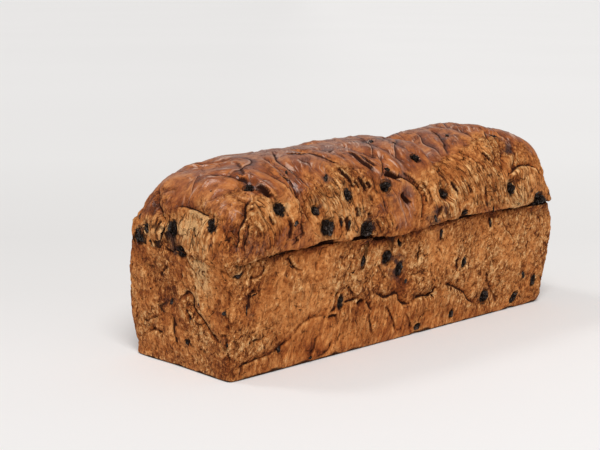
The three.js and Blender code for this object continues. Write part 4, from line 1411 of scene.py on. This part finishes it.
    # Painted shade: lines drawn in the fine creases, and the crease colour in folds, hollows, sockets and
    # along the bottom edge.
    drawn_lines = ((coarse_line, 0.8), (slab_line, 0.9), (knot_line, 0.7))
    drawn_lines += ((flow_line, 0.4), (flake_line, 0.85), (lap_line, 0.8))
    shade_lines = n.clamped(n.plus(*(n.times(mark, strength) for mark, strength in drawn_lines)))
    shade_in_creases = n.span(n.plus(crease_shade, n.times(shift, 0.8)), 0.20, 0.95)
    shade_in_creases = n.clamped(n.plus(n.math("MAXIMUM", shade_lines, shade_in_creases), fold_shade))
    base = n.mix(n.times(shade_in_creases, 0.94), base, colour(looks.crease_shade))
    # Painted shade in the small pores.
    pore_shade = n.times(n.span(n.plus(pores, n.times(pit, 0.06)), 0.60, 0.67), n.times(matte, 0.6))
    base = n.mix(pore_shade, base, colour(looks.crease_shade))
    blot = n.span(n.plus(stain, n.times(shift, 0.9)), 0.15, 0.75)
    base = n.mix(n.times(blot, 0.85), base, colour(looks.stain))

    # A painted sheen on the backs of the crown's ridges and along the lips of its sheets, standing for the
    # highlights on the glaze.
    drawn = grained((420, 70, 120), 3, 0.6, 0.6)
    painted_sheen = n.times(n.span(drawn, 0.54, 0.62), n.span(n.plus(blotch, n.times(raised_highlight, 0.2)), 0.46, 0.58))
    lap_highlight = n.times(lapped, n.span(lap_share, 0.90, 0.94), n.span(lap_share, 0.985, 0.96))
    painted_sheen = n.times(n.clamped(n.plus(painted_sheen, n.times(lap_highlight, 0.6))), n.less(1.0, shade_in_creases))
    base = n.mix(n.times(painted_sheen, gloss, 0.62), base, colour(looks.painted_sheen))

    roughness = n.less(0.82, n.times(gloss, 0.48))
    roughness = n.clamped(n.plus(roughness, n.times(shift, 0.4), n.times(shade_in_creases, 0.5)))

    domes = n.plus(n.times(n.span(large, 0.30, 0.62), 0.75), n.times(n.span(small, 0.30, 0.62), 0.38))
    height = n.plus(
        n.times(domes, n.plus(0.04, n.times(lively, 0.96))),
        n.times(pores, matte, 0.20),
        n.times(n.plus(mottle, streaks), gloss, 0.35),
        n.times(n.plus(shade_in_creases, n.times(lap_shade, 0.3)), -0.5),
    )
    bump = n.add("ShaderNodeBump", None, Height=height, Strength=1.0, Distance=0.0016)

    n.surface(
        Base_Color=base,
        Roughness=roughness,
        Normal=bump.outputs[0],
        Specular_IOR_Level=0.16,
        Coat_Weight=n.times(gloss, 0.55, n.less(1.0, shade_in_creases)),
        Coat_Roughness=0.20,
    )
    return material


def currant_material(looks):
    material = bpy.data.materials.new("dried_currant_skin")
    n = Nodes(material)
    place = n.add("ShaderNodeTexCoord").outputs["Object"]
    wrinkle = n.noise(place, 430.0, 4, 0.62, 0.5)
    bloom = n.noise(place, 240.0, 3, 0.5)
    # Painted highlight: the ridges of the wrinkles turn lighter.
    ridge_highlight = n.span(wrinkle, 0.55, 0.66)
    base = n.mix(n.times(ridge_highlight, 0.8), colour(looks.skin), colour(looks.edge))
    roughness = n.span(bloom, 0.35, 0.65, 0.35, 0.60)
    bump = n.add("ShaderNodeBump", None, Height=wrinkle, Strength=1.0, Distance=0.0018)
    n.surface(
        Base_Color=base,
        Roughness=roughness,
        Normal=bump.outputs[0],
        Specular_IOR_Level=0.06,
        Coat_Weight=n.span(wrinkle, 0.44, 0.58, 0.0, 0.75),
        Coat_Roughness=0.12,
        Coat_Normal=bump.outputs[0],
    )
    return material


def floor_material():
    """Pale paper with painted light: a touch dimmer where it sweeps away behind the loaf, and a touch
    brighter towards the right of the view.
    """
    material = bpy.data.materials.new("pale_floor")
    n = Nodes(material)
    place = n.add("ShaderNodeTexCoord").outputs["Object"]
    x, y, _ = n.add("ShaderNodeSeparateXYZ", None, Vector=place).outputs
    away = n.plus(n.times(x, 0.68), n.times(y, 0.73))
    aside = n.less(n.times(x, 0.73), n.times(y, 0.68))
    # Painted light: the tone dips where the floor sweeps away behind the loaf.
    tones = (
        (0.08, (0.890, 0.881, 0.884)),
        (0.17, (0.830, 0.823, 0.823)),
        (0.27, (0.800, 0.795, 0.795)),
        (0.37, (0.812, 0.809, 0.809)),
        (0.52, (0.840, 0.838, 0.840)),
    )
    place_on_ramp = n.times(n.plus(away, 0.25), 0.5)
    paper_falloff = n.ramp(place_on_ramp, (0.905, 0.897, 0.902), (0.850, 0.848, 0.852), tones)
    # Painted light: a touch brighter towards the right of the view, lifting the loaf's shadow on that side.
    side = n.span(aside, -0.25, 0.25, 0.99, 1.04)
    side_light_and_cloud = n.times(side, n.span(n.noise(place, 1.3, 2, 0.5), 0.3, 0.7, 0.995, 1.005))
    base = n.add("ShaderNodeVectorMath", {"operation": "SCALE"}, i0=paper_falloff, Scale=side_light_and_cloud).outputs[0]
    n.surface(Base_Color=base, Roughness=0.7, Specular_IOR_Level=0.2)
    return material


# ---- Pieces -----------------------------------------------------------------


class BREAD_OT_loaf(bpy.types.Operator):
    """Model the loaf: a box of grids carried onto the tin's form, then folded and torn"""

    bl_idname = "currant_bread.loaf"
    bl_label = "Loaf"

    def execute(self, context):
        sizes = context.scene.bread_tin
        form = LoafForm(sizes, context.scene.bread_crown)
        columns, across, rows = sizes.columns, sizes.across, sizes.rows
        sides = (
            (columns, across, (0, 0, 1), (0, 0, 0)),
            (columns, rows, (0, -1, 0), (math.pi / 2, 0, 0)),
            (columns, rows, (0, 1, 0), (-math.pi / 2, 0, 0)),
            (rows, across, (1, 0, 0), (0, math.pi / 2, 0)),
            (rows, across, (-1, 0, 0), (0, -math.pi / 2, 0)),
        )
        deselect()
        faces = []
        for x_count, y_count, location, rotation in sides:
            bpy.ops.mesh.primitive_grid_add(
                x_subdivisions=x_count, y_subdivisions=y_count, size=2, location=location, rotation=rotation
            )
            bpy.ops.object.transform_apply(location=True, rotation=True, scale=True)
            faces.append(bpy.context.object)
        loaf = join(faces, "loaf_crust")

        def close_bottom():
            bpy.ops.mesh.remove_doubles(threshold=1e-4)
            bpy.ops.mesh.select_mode(type="EDGE")
            bpy.ops.mesh.select_all(action="DESELECT")
            bpy.ops.mesh.select_non_manifold(extend=False)
            bpy.ops.mesh.edge_face_add()
            bpy.ops.mesh.select_all(action="SELECT")
            bpy.ops.mesh.normals_make_consistent(inside=False)

        in_edit_mode(loaf, close_bottom)
        mesh = loaf.data
        grid = points_of(mesh)
        grid[:, 2] = (grid[:, 2] + 1) / 2 * rows
        plain = form.shape(grid, rows)
        move_points(mesh, plain * MM)
        outward = normals_of(mesh)
        currants = [Currant(name) for name in CURRANT_NODES]
        crust = Crust(form, plain, outward, currants)
        carried = plain + outward * crust.height[:, None]
        carried[:, 2] = np.where(plain[:, 2] < 0.01, 0.0, np.maximum(carried[:, 2], 0.0))
        move_points(mesh, carried * MM + np.array(LOAF_ORIGIN))

        # Painted light and shade: vertices in hollows get the crease shade, and raised ones a painted
        # highlight.
        sunk = hollows(mesh, rounds=2)
        crease_shade = np.clip(np.maximum(crust.crease_shade, ease(sunk, 0.12, 0.75)), 0, 1)
        raised_highlight = ease(-sunk, 0.05, 0.6)
        store(mesh, "grain", *(crust.grain * MM).T)
        store(mesh, "end_grain", *(crust.end_grain * MM).T)
        store(mesh, "crust_zones", crust.bake, crust.torn, crease_shade, crust.stain)
        store(mesh, "crust_spots", crust.strand, crust.pits, raised_highlight, crust.at_end)
        store(mesh, "crust_seams", crust.seams.off, crust.seams.held, crust.coarse)
        store(mesh, "crust_sheets", crust.laps, crust.lapped, crust.flakes, crust.flaked)
        store(mesh, "crust_curls", crust.slabs, crust.curls, crust.browning_and_ledge_shade)
        mesh.materials.append(crust_material(context.scene.bread_crust))
        settle(loaf)
        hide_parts("loaf")
        return {"FINISHED"}


def wrinkle_ball(subdivisions, seed, depth):
    """A unit ball, shrivelled into lobes like a dried berry."""
    deselect()
    bpy.ops.mesh.primitive_ico_sphere_add(subdivisions=subdivisions, radius=1)
    piece = bpy.context.object
    ball = points_of(piece.data)
    ball /= np.linalg.norm(ball, axis=1)[:, None]
    bent = ball + 0.3 * np.stack([smooth_noise(ball, 0.8, seed + k) for k in range(3)], 1)
    broad = ridged(smooth_noise(bent, (1.3, 0.7, 0.8), seed + 0.5), 1.6)
    narrow = ridged(smooth_noise(bent, (0.6, 0.34, 0.4), seed + 0.2), 1.6)
    lumps = smooth_noise(ball, 0.8, seed + 0.8)
    size = 1.10 - depth * broad - 0.5 * depth * narrow + 0.44 * lumps
    shaped = ball * size[:, None]
    return piece, shaped / np.abs(shaped).max(0)


class BREAD_OT_currants(bpy.types.Operator):
    """Model each currant of the frame as a wrinkled dried berry in its socket"""

    bl_idname = "currant_bread.currants"
    bl_label = "Currants"

    def execute(self, context):
        looks = context.scene.bread_currants
        material = currant_material(looks)
        for number, name in enumerate(CURRANT_NODES):
            currant = Currant(name)
            fineness = 6 if currant.half[0] > 4.4 else 5
            piece, shaped = wrinkle_ball(fineness, seed=number, depth=looks.wrinkle)
            piece.name = piece.data.name = "dried_" + name
            points = (shaped * currant.half) @ currant.axes.T + currant.centre
            move_points(piece.data, points * MM + np.array(LOAF_ORIGIN))
            piece.data.materials.append(material)
            settle(piece)
            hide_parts(name)
        return {"FINISHED"}


# Scraps of currant caught under the crust: (place, half length, half width, turn in degrees)
SCRAPS = (
    ("crown", (
        ((-96, 20), 2.4, 1.8, 20),
        ((-66, 43), 3.2, 1.6, 60),
        ((6, 80), 5.0, 1.5, 155),
        ((15, 68), 3.4, 1.3, 150),
        ((72, 74), 3.6, 1.5, 140),
        ((-1, 76), 2.0, 1.0, 20),
        ((79, 6), 2.8, 0.9, 110),
        ((-54, 13), 4.2, 0.9, 85),
        ((-60, 15), 2.8, 0.8, 80),
        ((21, 7), 3.0, 1.2, 110),
        ((-88, 54), 2.0, 0.8, 120),
        ((-14, 43), 2.2, 1.2, 160),
        ((-131, 62), 0.7, 0.6, 0),
        ((-119, 66), 1.0, 0.7, 20),
        ((127, 10), 3.4, 1.4, 30),
    )),
    ("front", (
        ((82, 62), 3.4, 1.0, 85),
        ((33, 63), 3.2, 1.3, 80),
        ((2, 36), 1.6, 1.1, 60),
        ((121, 22), 2.8, 1.7, 70),
        ((-129, 41), 4.6, 0.7, 88),
        ((-123, 48), 2.4, 0.6, 15),
        ((-104, 13), 2.3, 1.5, 60),
        ((-95, 60), 2.2, 0.6, 130),
        ((-79, 3), 2.2, 0.9, 10),
        ((-46, 49), 1.0, 0.6, 0),
        ((-99, 55), 0.9, 0.6, 90),
    )),
    ("left", (
        ((-35, 87), 3.0, 1.0, 100),
        ((35, 84), 3.0, 1.8, 110),
        ((7, 38), 2.4, 2.0, 40),
        ((-19, 41), 1.3, 1.0, 80),
        ((-11, 31), 3.4, 0.9, 100),
        ((-7, 17), 2.4, 1.2, 120),
        ((-41, 40), 2.0, 1.3, 30),
        ((-42, 22), 2.2, 1.4, 0),
        ((21, 72), 0.9, 0.7, 0),
        ((24, 43), 0.8, 0.7, 0),
        ((30, 60), 0.9, 0.6, 0),
    )),
    ("right", (
        ((22, 36), 2.4, 1.6, 40),
        ((-26, 52), 1.8, 1.2, 100),
        ((4, 24), 2.6, 1.0, 60),
    )),
    ("back", (
        ((-96, 52), 3.0, 1.2, 70),
        ((-50, 34), 2.2, 1.4, 110),
        ((-4, 58), 2.8, 1.0, 95),
        ((38, 20), 2.4, 1.6, 20),
        ((72, 46), 1.8, 1.2, 60),
        ((112, 30), 2.6, 1.4, 130),
    )),
    ("crown", (
        ((-78, 148), 2.6, 1.4, 60),
        ((12, 160), 2.2, 1.6, 110),
        ((60, 128), 3.0, 1.2, 80),
        ((100, 152), 2.4, 1.2, 100),
    )),
)


class BREAD_OT_scraps(bpy.types.Operator):
    """Lay the scraps of currant that show through the crust"""

    bl_idname = "currant_bread.scraps"
    bl_label = "Currant scraps"

    def execute(self, context):
        form = LoafForm(context.scene.bread_tin, context.scene.bread_crown)
        crust = bpy.data.objects["loaf_crust"].data
        corners = [vertex.co[:] for vertex in crust.vertices]
        surface = BVHTree.FromPolygons(corners, [face.vertices[:] for face in crust.polygons])
        scraps = []
        for number, (side, place, long, wide, turn) in enumerate(each(SCRAPS)):
            spot = Vector(form.place(side, *place)) * MM + LOAF_ORIGIN
            found, normal, _, _ = surface.find_nearest(spot)
            if found is None:
                raise RuntimeError(f"no crust under scrap {number}")
            upright = Vector((0, 0, 1))
            along = upright.cross(normal).normalized()
            along = Matrix.Rotation(math.radians(turn), 3, normal) @ along
            across = normal.cross(along)
            piece, shaped = wrinkle_ball(subdivisions=3, seed=number + 60, depth=0.2)
            basis = np.array([along[:], across[:], normal[:]])
            points = (shaped * (long, wide, min(1.0, 0.7 * wide))) @ basis * MM
            move_points(piece.data, points + np.array(found - normal * 0.1 * MM))
            scraps.append(piece)
        piece = join(scraps, "currant_scraps")
        piece.data.materials.clear()
        piece.data.materials.append(bpy.data.materials["dried_currant_skin"])
        settle(piece)
        return {"FINISHED"}


class BREAD_OT_stage(bpy.types.Operator):
    """Set the pale floor, the soft lights and the camera"""

    bl_idname = "currant_bread.stage"
    bl_label = "Stage"

    def execute(self, context):
        sizes = context.scene.bread_stage
        scene = context.scene
        radius = sizes.radius
        deselect()
        bpy.ops.mesh.primitive_circle_add(vertices=96, radius=radius, fill_type="NGON")
        floor = bpy.context.object
        floor.name = floor.data.name = "floor"
        bpy.ops.object.shade_smooth()
        floor.data.materials.append(floor_material())

        world = bpy.data.worlds.new("soft_room") if scene.world is None else scene.world
        scene.world = world
        world.use_nodes = True
        world.node_tree.nodes["Background"].inputs[0].default_value = (1.0, 0.985, 0.975, 1)
        world.node_tree.nodes["Background"].inputs[1].default_value = 0.33

        # Broad lights from the front, so that the shadows fall behind the loaf.
        for name, energy, spread, toward in (
            ("front_light", 2.3, 34, (0.36, 0.49, -0.79)),
            ("back_light", 0.40, 12, (0.34, -0.50, -0.79)),
        ):
            deselect()
            bpy.ops.object.light_add(type="SUN", location=(0, 0, 2))
            light = bpy.context.object
            light.name = name
            light.data.energy = energy
            light.data.angle = math.radians(spread)
            light.data.color = (1.0, 0.985, 0.965)
            light.rotation_euler = Vector(toward).to_track_quat("-Z", "Y").to_euler()

        azimuth, level, rise = sizes.azimuth, math.cos(sizes.elevation), math.sin(sizes.elevation)
        back = Vector((math.sin(azimuth) * level, -math.cos(azimuth) * level, rise))
        aim = Vector(sizes.aim) + LOAF_ORIGIN
        bpy.ops.object.camera_add(location=aim + back * sizes.distance)
        camera = bpy.context.object
        camera.rotation_euler = (-back).to_track_quat("-Z", "Y").to_euler()
        camera.data.lens = sizes.lens
        camera.data.sensor_width = 36
        scene.camera = camera
        scene.view_settings.view_transform = "Standard"
        return {"FINISHED"}


class BREAD_PT_panel(bpy.types.Panel):
    """Lists the pieces of the loaf"""

    bl_idname = "BREAD_PT_panel"
    bl_label = "Currant Bread"
    bl_space_type = "VIEW_3D"
    bl_region_type = "UI"
    bl_category = "Currant Bread"

    def draw(self, context):
        for step in STEPS:
            self.layout.operator(step.bl_idname)
        for group in GROUPS:
            settings = getattr(context.scene, group)
            box = self.layout.box()
            for name in settings.__annotations__:
                box.prop(settings, name)


GROUPS = {
    "bread_tin": TinSizes,
    "bread_crown": CrownSizes,
    "bread_crust": CrustLooks,
    "bread_currants": CurrantLooks,
    "bread_stage": StageSizes,
}
STEPS = (BREAD_OT_loaf, BREAD_OT_currants, BREAD_OT_scraps, BREAD_OT_stage)


def register():
    for cls in (*GROUPS.values(), *STEPS, BREAD_PT_panel):
        bpy.utils.register_class(cls)
    for name, group in GROUPS.items():
        setattr(bpy.types.Scene, name, PointerProperty(type=group))


def unregister():
    for name in GROUPS:
        delattr(bpy.types.Scene, name)
    for cls in reversed((*GROUPS.values(), *STEPS, BREAD_PT_panel)):
        bpy.utils.unregister_class(cls)


def main():
    register()
    bpy.ops.currant_bread.loaf()
    bpy.ops.currant_bread.currants()
    bpy.ops.currant_bread.scraps()
    bpy.ops.currant_bread.stage()


if __name__ == "__main__":
    main()
